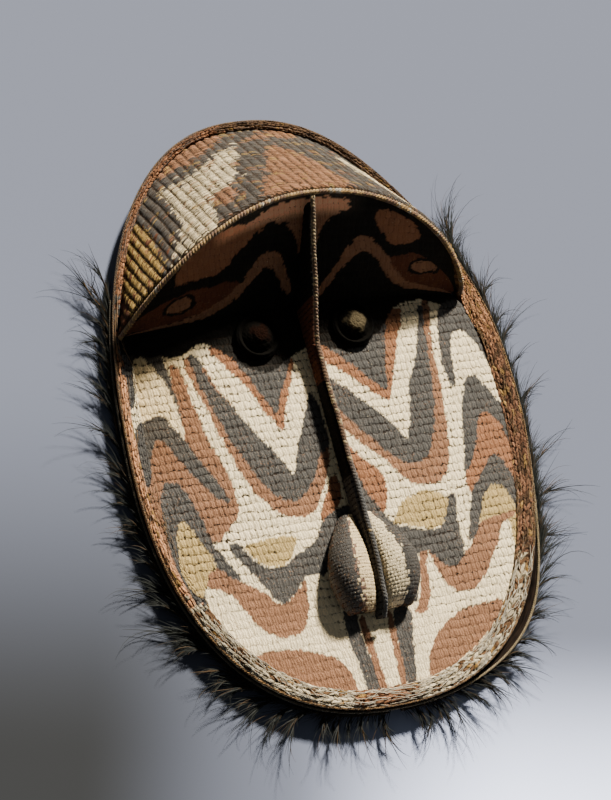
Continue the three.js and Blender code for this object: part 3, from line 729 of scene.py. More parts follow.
def corded(name, twist, threads, gap, roughness=0.85, sheen=0.15, shine=0.3):
    """Twisted fibre: fine threads wind round each strand."""
    look = Look(name, roughness, shine)
    grain, broad = look.cloud(700, 3, 0.6), look.cloud(60, 3)
    phase = look.attribute("along") * twist + look.attribute("around") * threads + grain * 5.0
    thread = phase.calc("SINE") * 0.5 + 0.5
    colour = look.attribute("paint", "Color")
    colour = look.toned(colour, (thread, 0.64, 1.06), (broad, 0.65, 1.35), (grain, 0.75, 1.25))
    colour = look.mix(look.attribute("groove").over(0.45, 0.0), colour, linear(gap))
    look.feed(look.shader, {"Base Color": colour, "Sheen Weight": sheen})
    low = look.bump(thread, 0.0005, 0.8)
    look.bump(grain, 0.0006, 0.6, low)
    return look.material


def bark_grain(name, light, dark, roughness, shine):
    """Split cane or bark: long grain along the strip, smoother where it was handled."""
    look = Look(name, roughness, shine)
    place = look.node("ShaderNodeCombineXYZ", {0: look.attribute("along") * 0.02, 1: look.attribute("around")})
    streak = look.node("ShaderNodeTexNoise", {"Vector": place, "Scale": 4.0, "Detail": 5.0})
    blotch = look.cloud(45, 4)
    colour = look.mix(streak.over(0.35, 0.66), linear(dark), linear(light))
    colour = look.mix(blotch.over(0.62, 0.8), colour, linear(np.array(dark) * 0.45))
    rough = blotch.over(0.7 - 1.6 * (roughness - 0.15), 0.7, smooth=False)
    look.feed(look.shader, {"Base Color": colour, "Roughness": rough})
    look.bump(streak, 0.0006, 0.8)
    return look.material


def barb_finish(name):
    """Loose dark barbs: near black, browner at the quill."""
    look = Look(name, 0.7, 0.12)
    colour = look.mix(look.cloud(90, 2), look.attribute("paint", "Color"), linear(BARB_SHADE))
    look.feed(look.shader, {"Base Color": colour})
    return look.material


# ---- Settings


def colour_property(name, default, description):
    return bpy.props.FloatVectorProperty(
        name=name, description=description, subtype="COLOR", size=3, min=0, max=1,
        default=tuple(float(v) for v in linear(default)),
    )


def length_property(name, millimetres, description):
    return bpy.props.FloatProperty(
        name=name, description=description, default=millimetres / 1000, min=0.0, unit="LENGTH", precision=5,
    )


class MaskPaints(bpy.types.PropertyGroup):
    """Colours of the painted pattern"""

    white: colour_property("White", (250, 228, 183), "Chalky white ground")
    grey: colour_property("Grey", (80, 77, 72), "Dark grey of the broad bands")
    orange: colour_property("Orange", (142, 102, 75), "Pale earth orange")
    rust: colour_property("Rust", (146, 99, 69), "Darker earth orange")
    yellow: colour_property("Yellow", (184, 157, 102), "Dull yellow of the lenses")
    black: colour_property("Black", (30, 27, 22), "Soot black under the brow")
    brown: colour_property("Brown", (98, 60, 42), "Dark reddish brown under the brow")


class MaskWeave(bpy.types.PropertyGroup):
    """Stitches of the panels"""

    row: length_property("Row", 6.9, "Distance between rows of the face")
    stitch: length_property("Stitch", 4.7, "Distance between stitches of the face")
    relief: length_property("Relief", 1.15, "Height of the stitches over their gaps")
    lean: bpy.props.FloatProperty(name="Lean", description="Slant of the stitches", default=0.1)
    rib: length_property("Rib", 7.8, "Distance between ribs of the hood")
    wrap: length_property("Wrap", 2.1, "Distance between the wraps of a hood rib")


class MaskCords(bpy.types.PropertyGroup):
    """Plaits and cords"""

    cord_pitch: length_property("Cord pitch", 5.6, "Length of one twist of the brow cord")
    edge_pitch: length_property("Edge pitch", 5.5, "Length of one twist of the nose cord")
    bleached: colour_property("Bleached fibre", (214, 200, 172), "Pale fibre of the plait round the chin")
    straw: colour_property("Straw", (190, 165, 118), "Pale yellow fibre of the cords")
    dry: colour_property("Dry fibre", (132, 98, 68), "Brown fibre of the plait along the sides")


class MaskFeathers(bpy.types.PropertyGroup):
    """Feathers behind the rim"""

    tufts: bpy.props.IntProperty(name="Tufts", description="Tufts on each string", default=13, min=1)
    down: bpy.props.IntProperty(name="Down", description="Short barbs of each tuft", default=80, min=5)
    barbs: bpy.props.IntProperty(name="Barbs", description="Barbs of each feather", default=30, min=3)
    reach: length_property("Reach", 50.0, "Length of a feather")
    barb: colour_property("Barb", (32, 34, 29), "Near black of the barbs")
    shaft: colour_property("Shaft", (122, 92, 54), "Golden brown of the shafts")


class MaskStage(bpy.types.PropertyGroup):
    """Floor, light and camera"""

    floor: colour_property("Floor", (97, 102, 117), "Grey floor")
    key: bpy.props.FloatProperty(name="Key", description="Strength of the main light", default=14.2, min=0)
    fill: bpy.props.FloatProperty(name="Fill", description="Strength of the room light", default=0.14, min=0)
    distance: length_property("Distance", 2300.0, "Camera distance from the middle of the mask")
    lens: bpy.props.FloatProperty(name="Lens", description="Focal length", default=129.9, unit="CAMERA")


def settings(name):
    """One group of the mask's settings."""
    return getattr(bpy.context.scene, "mask_" + name)


def palette():
    """Scene colours of the paints by name."""
    paints = settings("paints")
    return {name: np.array(getattr(paints, name)) for name in MaskPaints.__annotations__}


def fibre(name):
    """Scene colour of one of the unpainted fibres."""
    return np.array(getattr(settings("cords"), name))


# ---- Pieces


def rim_sides(inset):
    """Left and right edge of the lower oval as functions of height."""
    angles = np.linspace(-90, CORNER_ANGLE, 500)
    right = rim_point(angles, inset)
    left = rim_point(180 - angles, inset)
    return (lambda y: np.interp(y, left[1], left[0])), (lambda y: np.interp(y, right[1], right[0]))


class MASK_OT_face(bpy.types.Operator):
    """Stitched and painted face, with the underside of the brow"""

    bl_idname = "mask.face"
    bl_label = "Face"

    COLUMNS = 276
    FACE_ROWS = 236
    UNDER_ROWS = 72
    BACK_STEP = 4
    REACH = 0.993

    def execute(self, context):
        weave = settings("weave")
        row, stitch = weave.row * 1000, weave.stitch * 1000
        u = np.linspace(-self.REACH, self.REACH, self.COLUMNS)
        crease, *front, smear = self.front(u, row, stitch, weave)
        under = self.under(u, crease, row, stitch, weave)
        points, colour, across, along = (np.concatenate(pair) for pair in zip(front, under))
        back, joining = self.back(u, points)
        count = points[..., 0].size
        opened = np.where(np.arange(count + back[..., 0].size) < smear.size, 0, -0.3)
        opened[count:] = 0
        smear = np.pad(smear.ravel(), (0, opened.size - smear.size), constant_values=0.6)
        material = stitched(
            "painted_twining", row, stitch, weave.lean, bare=(150, 108, 72), gap=(36, 27, 19), worn=0.7, hole=0.55,
            seam=0.62, cross=0.42, wide=0.68,
        )
        quads = [grid_faces(*points.shape[:2]), grid_faces(*back.shape[:2], count, flip=True), joining]
        add_panel("woven_face", "face_weave", "weave", points, back, quads, material, colour, fibre("dry") * 0.8,
                  across, along, smear=smear, open=opened)
        return {"FINISHED"}

    def front(self, u, row, stitch, weave):
        """Crease, then points, colours and stitch places of the face from the chin to it, then its wear."""
        crease_x = u * (float(oval_point(CORNER_ANGLE)[0]) - CREASE_INSET)
        crease_y = CORNER_Y + (CREASE_Y - CORNER_Y) * (1 - u**2)
        left, right = rim_sides(PANEL_INSET)
        low = -HALF_LENGTH + PANEL_INSET + 0.15
        share = np.linspace(0, 1, self.FACE_ROWS)[:, None]
        y = low + (crease_y - low) * share
        level = low + (CREASE_Y - low) * share
        x = left(level) + (right(level) - left(level)) * (u / self.REACH + 1) / 2
        x = x + (crease_x - x) * part_way(share, 0.86, 1) ** 2
        plain = np.stack([x, y, face_height(x, y)], -1)
        across = x + 0.9 * noise(x, y, 35, 4) + 0.5 * noise(x, y, 9, 2)
        along = y - 0.00022 * x**2 + 0.6 * noise(x, y, 60) + 0.4 * noise(x, y, 11, 5)
        crown, r, c = stitches(across, along, row, stitch, weave.lean)
        # The chin is smeared smooth with white, less so on its left
        smear = part_way(22 * noise(x, y, 40, 3) - y, 95, 155) * part_way(np.abs(x), 150, 130)
        smear = smear * (0.8 - 0.65 * part_way(x, 40, 80))
        painted_x = x + jitter(r, c, 0, 1.6) + 0.7 * noise(x, y, 2.2, 1)
        painted_y = y + jitter(r, c, 1, 1.6) + 0.7 * noise(x, y, 2.4, 6)
        colour = paint_areas(FACE_AREAS, "white", painted_x, painted_y, palette())
        dirt = part_way(20 * noise(x, y, 25, 5) - x, 70, 140) * part_way(y, -60, 30)
        colour = colour * (1 - dirt[..., None] * np.array([0.27, 0.36, 0.5]))
        height = raised(crown, r, c, 0.66, 0.6, 2, 0.62) * (1 - 0.7 * smear)
        lift = weave.relief * 1000 * height + 0.16 * noise(x, y, 2.6, 8)
        return plain[-1:], plain + lift[..., None] * UP, colour, across, along, smear

    def under(self, u, crease, row, stitch, weave):
        """Points, colours and stitch places of the underside of the brow, from the crease to the lip."""
        share = np.linspace(0, 1, self.UNDER_ROWS + 1)[1:, None]
        brow_u = u * (BROW_REACH + 0.035 * np.abs(u) ** 8)
        brow = hood_point(brow_u, 1.0) - RULING_UNIT * LIP_SETBACK - hood_normal(brow_u, 1.0) * UNDER_DEPTH
        plain = crease + (brow - crease) * share[..., None]
        depth = np.linalg.norm(brow - crease, axis=-1) * share
        facing = unit(np.cross(np.gradient(plain, axis=1), np.gradient(plain, axis=0)))
        facing *= np.sign(facing[..., 2:])
        across = plain[..., 0]
        along = depth + 0.8 * noise(across, depth, 50) + 120 * row
        crown, r, c = stitches(across, along, row, stitch, weave.lean)
        station = u + jitter(r, c, 0, 0.016)
        colour = paint_areas(UNDER_AREAS, "black", station, share + jitter(r, c, 1, 0.024), palette())
        # Painted light: the whole underside is brightened 1.15 times as painted bounce light, and the rows just
        # under the brow's edge near the middle up to 4.55 times, as a painted highlight
        lip = part_way(share, 0.76, 0.84) * part_way(np.abs(u + 0.1), 0.36, 0.26)
        height = raised(crown, r, c, 0.72, 0.5, 3)
        points = plain + facing * (weave.relief * 1000 * 0.8 * height)[..., None]
        return points, colour * (1.15 + 3.4 * lip)[..., None], across, along

    def back(self, u, points):
        """Coarser plain back, a thickness behind the front, and the quads between the two."""
        rows, columns = points.shape[:2]
        at_row = np.unique([*some_of(rows, self.BACK_STEP), self.FACE_ROWS - 1])
        at_column = some_of(columns, self.BACK_STEP)
        back = points[at_row][:, at_column]
        lean = math.atan2(APEX_HEIGHT - LIP_SETBACK, APEX_Y - CREASE_Y)
        thick = PANEL * np.clip(8 * (1 - np.abs(u[at_column])), 0.5, 1)
        thick = thick * np.clip((rows - 1 - at_row) / 12, 0.1, 1)[:, None]
        below = (at_row >= self.FACE_ROWS)[:, None]
        mitre = (at_row == self.FACE_ROWS - 1)[:, None]
        back[..., 1] += below * thick * math.sin(lean) + mitre * PANEL * math.tan(lean / 2)
        back[..., 2] -= np.where(below, thick * math.cos(lean), PANEL - 0.6)
        fine = at_row[:, None] * columns + at_column
        coarse = rows * columns + np.arange(fine.size).reshape(fine.shape)
        return back, edge_faces(fine, coarse, (False, True, True, False))


class MASK_OT_hood(bpy.types.Operator):
    """Ribbed panel between the crown and the brow"""

    bl_idname = "mask.hood"
    bl_label = "Hood"

    COLUMNS = 400
    ROWS = 205
    BACK_ROWS = 24
    BACK_STEP = 4
    REACH = 0.985
    LEAN = 0.5
    LIP_ROUNDING = 3.0
    # How open the gaps are, along the rim
    OPEN = ((-1, 0.7), (-0.64, 0.5), (-0.6, 0.3), (-0.5, 0.12), (0.25, 0.16), (0.5, 0.3), (0.7, 0.8), (1, 0.9))

    def execute(self, context):
        weave = settings("weave")
        rib, wrap, relief = weave.rib * 1000, weave.wrap * 1000, weave.relief * 1000
        u = np.linspace(self.REACH, -self.REACH, self.COLUMNS)
        s = np.linspace(0, 1, self.ROWS)[:, None]
        run = walked(hood_point(u, 0.5))
        length = np.linalg.norm(hood_point(u, 1.0) - hood_point(u, 0.0), axis=-1)
        depth = length * s
        across = np.broadcast_to(run - run[-1] / 2, depth.shape)
        ribs = across + 0.8 * noise(depth, across, 40)
        crown, r, c = stitches(depth, ribs, rib, wrap, self.LEAN)
        along = np.broadcast_to(u, depth.shape)
        colour = self.colours(along, s, depth, ribs, r, c)
        to_lip = np.clip(length * (1 - s), 0, self.LIP_ROUNDING)
        drop = self.LIP_ROUNDING - np.sqrt(self.LIP_ROUNDING**2 - (self.LIP_ROUNDING - to_lip) ** 2)
        tall = 0.7 + 0.3 * scatter(r, 3.0, 4) + 0.3 * scatter(r, c, 4)
        lift = relief * 1.3 * (crown * tall - 0.6) - drop
        outer = hood_point(u, s) + hood_normal(u, s) * lift[..., None]
        opened = by_stops(along, *self.OPEN) * (0.35 + scatter(r, c, 7))
        keep = some_of(self.COLUMNS, self.BACK_STEP)
        back = self.back(u[keep])
        start = outer[..., 0].size
        numbers = start + np.arange(back[..., 0].size).reshape(back.shape[:2])
        quads = [
            grid_faces(self.ROWS, self.COLUMNS), grid_faces(*back.shape[:2], start),
            bridge_faces(start - self.COLUMNS + keep, numbers[0]), bridge_faces(numbers[-1], keep),
        ]
        material = stitched(
            "painted_ribs", rib, wrap, self.LEAN, bare=(150, 112, 76), gap=(62, 48, 34), worn=1.0, hole=0.7,
            seam=0.6, cross=1.0, wide=0.3, vary=2.2,
        )
        paint = stacked(colour, np.broadcast_to(fibre("dry") * 0.7, back.shape), wide=3)
        add_piece("ribbed_hood", "forehead_hood", "hood", stacked(outer, back, wide=3), np.vstack(quads), material,
                  paint=paint, across=stacked(depth, back[..., 1]), along=stacked(ribs, back[..., 0]),
                  open=stacked(opened, 0 * back[..., 0]))
        return {"FINISHED"}

    def colours(self, along, s, depth, ribs, r, c):
        """Painted areas, faded at the right corner, with bare fibre in patches."""
        far = 1 + 3 * (scatter(r, c, 9) > 0.8)
        paints = {name: colour * 1.5 for name, colour in palette().items()}
        paints["white"] = palette()["white"]
        paints["yellow"] = paints["yellow"] * np.array([1.0, 0.9, 0.66])
        painted_s = s + jitter(r, c, 1, 0.05) * far
        colour = paint_areas(HOOD_AREAS, "grey", along + jitter(r, c, 0, 0.014) * far, painted_s, paints)
        faded = (along < -0.6) & (noise(depth, ribs, 7, 4) + scatter(r, c, 6) > 1.0)
        colour[faded] = paints["brown"] * 1.3
        bare = noise(depth, ribs, 11, 9) + 1.1 * scatter(r, c, 8) > 1.15
        shown = np.where(scatter(r, c, 5)[..., None] > 0.5, paints["rust"], paints["yellow"] * 0.8)
        return np.where(bare[..., None], 0.35 * colour + 0.65 * shown, colour)

    def back(self, u):
        """Plain inside from the lip down to the rim, and the foot that stands on the hoop."""
        s = np.linspace(1, 0, self.BACK_ROWS)[:, None]
        thick = 1.6 + (PANEL - 2.0) * part_way(1 - s, 0, 0.12)
        inner = hood_point(u, s) - hood_normal(u, s) * thick[..., None]
        foot = inner[-1:].copy()
        foot[..., 2] = EDGE_HEIGHT - PANEL
        angle = (90 - u * (90 - CORNER_ANGLE))[None]
        heel, toe = (rim_line(angle, PANEL_INSET, z) for z in (EDGE_HEIGHT - PANEL, EDGE_HEIGHT))
        return np.concatenate([inner, foot, heel, toe])


class MASK_OT_hoop(bpy.types.Operator):
    """Cane hoop that the mask rests on, lashed at even steps"""

    bl_idname = "mask.hoop"
    bl_label = "Rim hoop"

    PROFILE = ((0, 0), (1, 0), (1.12, 0.12), (1.12, 0.8), (0.9, 1), (0.1, 1), (-0.12, 0.8), (-0.12, 0.12))
    LASHING_STEP = 7.5
    LASHING_TURNS = 2.6
    LASHING_SPREAD = 1.7

    def execute(self, context):
        hoop = Strands()
        angles = np.linspace(0, 360, 240, endpoint=False)
        rings = [
            rim_line(angles, HOOP_INSET + HOOP_WIDTH * (0.08 + 0.84 * across) * 0.94, HOOP_DEPTH * up)
            for across, up in self.PROFILE
        ]
        quads = ring_faces(len(angles), len(rings), flip=True)
        hoop.strip(rings, quads, (0.3, 0.18, 0.09), np.radians(angles) * 200, 1.3)
        turns = np.linspace(0, 2 * math.pi * self.LASHING_TURNS, 40)
        half = HOOP_WIDTH / 2
        inset = HOOP_INSET + half - (half + 0.2) * np.cos(turns)
        z = np.maximum(HOOP_DEPTH / 2 + (HOOP_DEPTH / 2 - 0.35) * np.sin(turns), 0.75)
        spread = (turns / turns[-1] - 0.5) * self.LASHING_SPREAD
        for angle in np.arange(4, 360, self.LASHING_STEP):
            hoop.tube(rim_line(angle + spread, inset, z), 0.7, fibre("dry"), sides=5)
        material = bark_grain("split_cane", light=(176, 126, 80), dark=(112, 72, 42), roughness=0.5, shine=0.45)
        hoop.finish("cane_hoop", "rim_hoop", "cane", material)
        return {"FINISHED"}


def by_stops(value, *stops):
    """Value eased between (place, value) stops."""
    return np.interp(value, *zip(*stops))


def crown_share(angle):
    """0 along the face and 1 along the hood."""
    return eased(part_way(rim_point(angle)[1], CORNER_Y - 30, CORNER_Y + 6))


def rim_colours(angle, row, column):
    """Colour of each loop of the rim: white at the chin, tan brightened as painted light at the lower right, brown
    elsewhere.
    """
    paints, dry = palette(), fibre("dry")
    rust, chance, other = paints["rust"], scatter(row, column, 5.0)[..., None], scatter(row, column, 9.0)[..., None]
    golden = paints["yellow"] * np.array([0.66, 0.52, 0.38])
    earth = (rust * 0.7 + dry * 0.3) * (0.5 + 0.55 * chance)
    brown = np.where(other > 0.94, golden * 0.9, np.where(other < 0.36, dry * 0.32, earth * 0.8))
    white = fibre("bleached") * (0.7 + 0.36 * chance) * np.array([1.0, 0.95, 0.84])
    white = np.where(other > 0.92, golden, np.where(other < 0.24, dry * 0.7, white))
    mixed = np.where(chance > 0.62, dry * 0.5, white * 0.82)
    # Tan fibre, made brighter as painted light on the side of the rim away from the light
    tan = np.where(other > 0.86, golden, (rust * 1.5 + dry * 1.3) * (0.7 + 0.45 * chance))
    speckled = np.where(chance > 0.55, rust * 0.8, paints["grey"] * 1.1)
    ruddy = (rust * 0.8 + dry * 0.3) * (0.45 + 0.6 * chance)
    dark = dry * (0.3 + 0.5 * chance) * np.array([0.95, 1.02, 1.15])
    dark = np.where(other > 0.93, golden * 0.7, dark)
    patches = (
        (6, 26, tan * 0.5), (24, 96, dark), (96, 156, ruddy), (154, 171, speckled), (171, 212, tan),
        (212, 238, mixed), (238, 262, white), (262, 274, earth), (274, 300, white), (300, 326, mixed),
    )
    colour = brown * np.array([0.92, 0.96, 1.08])
    edge = angle + jitter(row, column, 2.0, 5)
    for low, high, patch in patches:
        colour = np.where(((edge > low) & (edge <= high))[..., None], patch, colour)
    return colour


class MASK_OT_braid(bpy.types.Operator):
    """Looped edging of the rim, plaited round the chin, with loose fibres"""

    bl_idname = "mask.braid"
    bl_label = "Rim plait"

    SAMPLES = 2100
    PROFILE = 38
    ROW = 3.4
    STITCH = 4.4
    # Along the rim, by angle: length and depth of a loop, flatness, zigzag of the plait and its boldness
    LOOP = ((0, 5.2), (24, 3.8), (150, 3.8), (165, 5), (178, 6.5), (205, 6.5), (216, 6), (326, 6), (340, 5.2),
            (360, 5.2))
    FINE = ((0, 2.6), (24, 2.2), (165, 2.2), (178, 2.0), (205, 2.0), (216, 3.4), (326, 3.4), (340, 2.6), (360, 2.6))
    FLAT = ((0, 1), (150, 1), (165, 0.2), (310, 0.2), (335, 1), (360, 1))
    ZIGZAG = ((0, 0.6), (150, 0.4), (210, 0.0), (216, 0.75), (326, 0.75), (332, 0.6), (360, 0.6))
    BOLD = ((0, 1.3), (24, 0.9), (150, 0.9), (176, 0.8), (205, 0.8), (218, 1.7), (326, 1.7), (340, 1.3), (360, 1.3))
    LINE_TONE = ((0, 0.7), (24, 0.4), (150, 0.35), (175, 0.45), (215, 0.6), (300, 0.6), (360, 0.7))

    def execute(self, context):
        angles = np.linspace(0, 360, self.SAMPLES, endpoint=False)
        stations = angles[:, None]
        crown = crown_share(angles)
        corner = np.exp(-((rim_point(angles)[1] - CORNER_Y + 4) / 16) ** 2) * (angles < 90)
        width = BRAID_WIDTH + (CROWN_BRAID_WIDTH - BRAID_WIDTH) * crown + 8 * corner
        top = (RIM_PLANE + (CROWN_BRAID_TOP - RIM_PLANE) * crown)[:, None]
        x, y, _, _ = rim_point(angles, width / 2)
        steps = np.hypot(np.roll(x, -1) - x, np.roll(y, -1) - y)
        place = np.cumsum(steps / by_stops(angles, *self.LOOP))
        place = place * round(place[-1]) / place[-1]
        # Cross-section, from the outer foot over the top to the inner foot
        turn = np.linspace(0, math.pi, self.PROFILE)
        share = 0.5 - 0.5 * signed_power(np.cos(turn), 0.75)
        flat = by_stops(stations, *self.FLAT)
        sloped = np.where(share < 0.3, np.sqrt(1 - (1 - share.clip(0, 0.3) / 0.3) ** 2),
                          1 - (share.clip(0.3, 1) / 0.7 - 3 / 7) ** 1.2)
        up = np.sin(turn).clip(0, 1) ** np.where(share > 0.5, 0.95, 0.6)
        up = (up + (sloped - up) * flat) * (1 - 0.22 * flat)
        px, py, out_x, out_y = rim_point(stations, width[:, None] * share)
        low = face_height(px, py) + 0.5
        base = np.stack([px, py, low + (np.maximum(top, low + 4.1) - low) * up], -1)
        about = np.cumsum(np.linalg.norm(np.diff(base, axis=1, prepend=base[:, :1]), axis=-1), 1)
        # Loops
        length = np.cumsum(steps)[:, None]
        along = (about + 0.8 * noise(length, about, 9, 3)) / by_stops(stations, *self.FINE) * self.ROW
        zigzag = np.abs((along / self.ROW) % 2 - 1) * by_stops(stations, *self.ZIGZAG)
        across = (place[:, None] + zigzag + 0.16 * noise(length, about, 5, 7)) * self.STITCH
        crowns, r, c = stitches(across, along, self.ROW, self.STITCH, 0.0)
        height = 1.15 * raised(crowns, r, c, 0.45, 1.0, 2, 0.62)
        lift = by_stops(stations, *self.BOLD) * height * np.sin(turn).clip(0, 1) ** 0.3
        outward = np.stack([out_x * np.cos(turn), out_y * np.cos(turn), np.sin(turn) + 0 * out_x], -1)
        points = base + outward * lift[..., None]
        colour = rim_colours(stations, r, c)
        # Painted light: where the plait is flattened, its inner slope, which lies in shade, is brightened up to 1.4
        # times
        colour = colour * (1 + 0.4 * flat * part_way(share, 0.35, 0.75))[..., None]
        level = stations + jitter(r, c, 3, 3)
        painted = (share > 0.45) & (level > 160) & (level < 214)
        colour = np.where(painted[..., None], paint_areas(FACE_AREAS, "white", px, py, palette()), colour)
        material = stitched(
            "looped_rim", self.ROW, self.STITCH, 0.0, bare=(176, 130, 82), gap=(22, 13, 8), worn=0.35, seam=0.95,
            cross=0.9,
        )
        quads = ring_faces(self.SAMPLES, self.PROFILE, flip=True)
        add_piece("rim_plait", "rim_braid", "braid", points, quads, material,
                  paint=colour, across=across, along=along)
        self.fibres(angles, points)
        return {"FINISHED"}

    def fibres(self, angles, points):
        """Loose ends that stand off the rim and a fine twisted line along its outer edge."""
        golden = palette()["yellow"] * np.array([0.8, 0.6, 0.44])
        loose = Strands()
        stretches = (
            (216, 324, 330, fibre("bleached")), (324, 384, 60, golden * 0.7),
            (24, 156, 90, fibre("dry") * 0.7), (156, 216, 50, golden * 0.6),
        )
        for low, high, number, paint in stretches:
            for _ in range(number):
                start = int(round(random.uniform(low, high) / 360 * len(angles))) % len(angles)
                column = random.integers(6, 32)
                reach = random.integers(11, 36) * random.choice((-1, 1))
                drift = random.integers(-6, 7)
                steps = np.linspace(0, 1, 5)
                along = (start + steps * reach).round().astype(int) % len(angles)
                about = np.clip((column + steps * drift).round().astype(int), 2, 35)
                path = points[along, about].copy()
                path[:, 2] += 0.35 + random.uniform(0, 1.3) * np.sin(steps * math.pi * random.uniform(0.5, 1))
                loose.tube(path, 0.34 - 0.16 * steps, paint * random.uniform(0.6, 1.15), sides=4)
        fine = np.linspace(0, 360, 1900, endpoint=False)
        x, y, out_x, out_y = rim_point(fine, -0.2)
        line = np.stack([x, y, np.interp(fine, angles, points[:, 6, 2]) + 0.4], -1)
        out = np.stack([out_x, out_y, 0 * x], -1)
        steps = np.hypot(np.roll(x, -1) - x, np.roll(y, -1) - y)
        for strand in range(2):
            turn = np.cumsum(steps) / 4.2 * 2 * math.pi + strand * math.pi
            path = line + 0.5 * (np.cos(turn)[:, None] * out + np.sin(turn)[:, None] * UP)
            tone = by_stops(fine, *self.LINE_TONE) * (0.35 + 0.7 * scatter(np.floor(turn / math.pi), 3.0))
            loose.tube(path, 0.55, golden * tone[:, None], sides=5, closed=True)
        material = corded("loose_fibre", twist=1.4, threads=3.0, gap=(60, 42, 26))
        loose.finish("rim_fibres", None, "braid", material)


def ply(strands, path, side, core, thickness, pitch, colour, sides=7, shade=0.25):
    """Two plies of a thickness, wound round a core that follows a path given at small steps."""
    wide, up = directions(path, side)
    length = walked(path)
    for strand in range(2):
        turn = (length / pitch * 2 + strand) * math.pi
        around = np.cos(turn)[:, None] * wide + np.sin(turn)[:, None] * up
        uneven = 1 - shade * scatter(np.floor(length / (pitch * 1.5)), strand)
        swell = thickness * (1 + 0.06 * np.sin(length * 0.9 + strand))
        strands.tube(path + around * core, swell, colour * uneven[:, None], side, sides)


class MASK_OT_cords(bpy.types.Operator):
    """Twisted cords on the edge of the brow and the ridge of the nose"""

    bl_idname = "mask.cords"
    bl_label = "Cords"

    STEPS = 1000
    RIDGE_STEPS = 780
    RIDGE_SOFTENING = 15

    def execute(self, context):
        cords = settings("cords")
        material = corded("twisted_cord", twist=1.4, threads=4.0, gap=(70, 50, 30))
        brow = Strands()
        u = np.linspace(-0.99, 0.99, self.STEPS)
        path = brow_cord_point(u)
        path[:, 2] -= 5 * part_way(np.abs(u), 0.93, 0.99) ** 2
        tuft = np.floor(np.arange(self.STEPS) / 6)[:, None]
        colour = fibre("straw") * np.array([0.8, 0.66, 0.48]) * (0.55 + 0.5 * scatter(tuft, 1.0))
        colour = np.where(scatter(tuft, 4.0) > 0.6, fibre("dry") * 0.8, colour)
        colour = np.where(scatter(tuft, 7.0) > 0.95, fibre("bleached") * 0.6, colour)
        ply(brow, path, UP, core=1.05, thickness=1.2, pitch=cords.cord_pitch * 1000, colour=colour, shade=0.3)
        brow.finish("brow_cord", "brow_binding", "cord", material)
        nose = Strands()
        path = self.ridge_path()
        y, brown, straw = path[:, 1:2], fibre("dry") * 0.7, fibre("straw")
        # Under the brow the cord takes only part of the straw colour, as painted shade, and shows it fully only
        # where it meets the brow cord
        colour = brown + (straw * 0.55 - brown) * part_way(y, 70, 120) * (0.4 + 0.6 * part_way(y, 135, 147))
        low = part_way(y, -40, -80)
        colour = colour + (palette()["grey"] - colour) * low
        tuft = np.floor(np.arange(len(path)) / 4)[:, None]
        colour = np.where(scatter(tuft, 6.0) > 0.82 + 0.14 * low, straw * 0.8, colour)
        pitch = cords.edge_pitch * 1000
        ply(nose, path, (1, 0, 0), core=0.7, thickness=1.35, pitch=pitch, colour=colour, shade=0.4)
        nose.finish("ridge_cord", "nose_cord", "cord", material)
        return {"FINISHED"}

    def ridge_path(self):
        """Middle of the nose cord: off the edge of the fin, from the brow cord down, with eased corners."""
        edge = np.array(FIN_EDGE)
        lift = NOSE_CORD_RADIUS + 2 * CLEARANCE
        points = []
        for k, here in enumerate(edge):
            before = here - edge[max(k - 1, 0)]
            after = edge[min(k + 1, len(edge) - 1)] - here
            before = before / (np.linalg.norm(before) or 1)
            after = after / (np.linalg.norm(after) or 1)
            run = unit(before + after)
            points.append(here + np.array([run[1], -run[0]]) * lift / max(run @ before, run @ after))
        points[0] = points[0] + np.array([-1.5, -0.9])
        _, top_y, top_z = brow_cord_point(0.0)
        points = np.array([(top_y - 2.2, top_z - 0.6), *points])
        run = walked(points)
        at = np.linspace(0, run[-1], self.RIDGE_STEPS)
        soft = np.ones(self.RIDGE_SOFTENING) / self.RIDGE_SOFTENING
        y, z = (
            np.convolve(np.pad(np.interp(at, run, line), self.RIDGE_SOFTENING // 2, "edge"), soft, "valid")
            for line in points.T
        )
        return np.stack([0.3 * np.sin(at * 0.11), y, z], -1)


def fin_profile(y):
    """Heights of the back and front of the nose fin along its length."""
    edge = np.array(FIN_EDGE)[::-1]
    front = np.interp(y, edge[:, 0], edge[:, 1])
    lip = hood_point(0.0, 1.0) - RULING_UNIT * LIP_SETBACK
    foot = face_height(0.0, np.minimum(y, CREASE_Y - 1)) + 1
    climb = np.clip((y - CREASE_Y + 1) / (lip[1] - CREASE_Y), 0, 1)
    back = foot + (lip[2] - face_height(0.0, CREASE_Y)) * climb - np.where(climb > 0, 1.0, 0)
    return np.minimum(back, front - 0.5), front


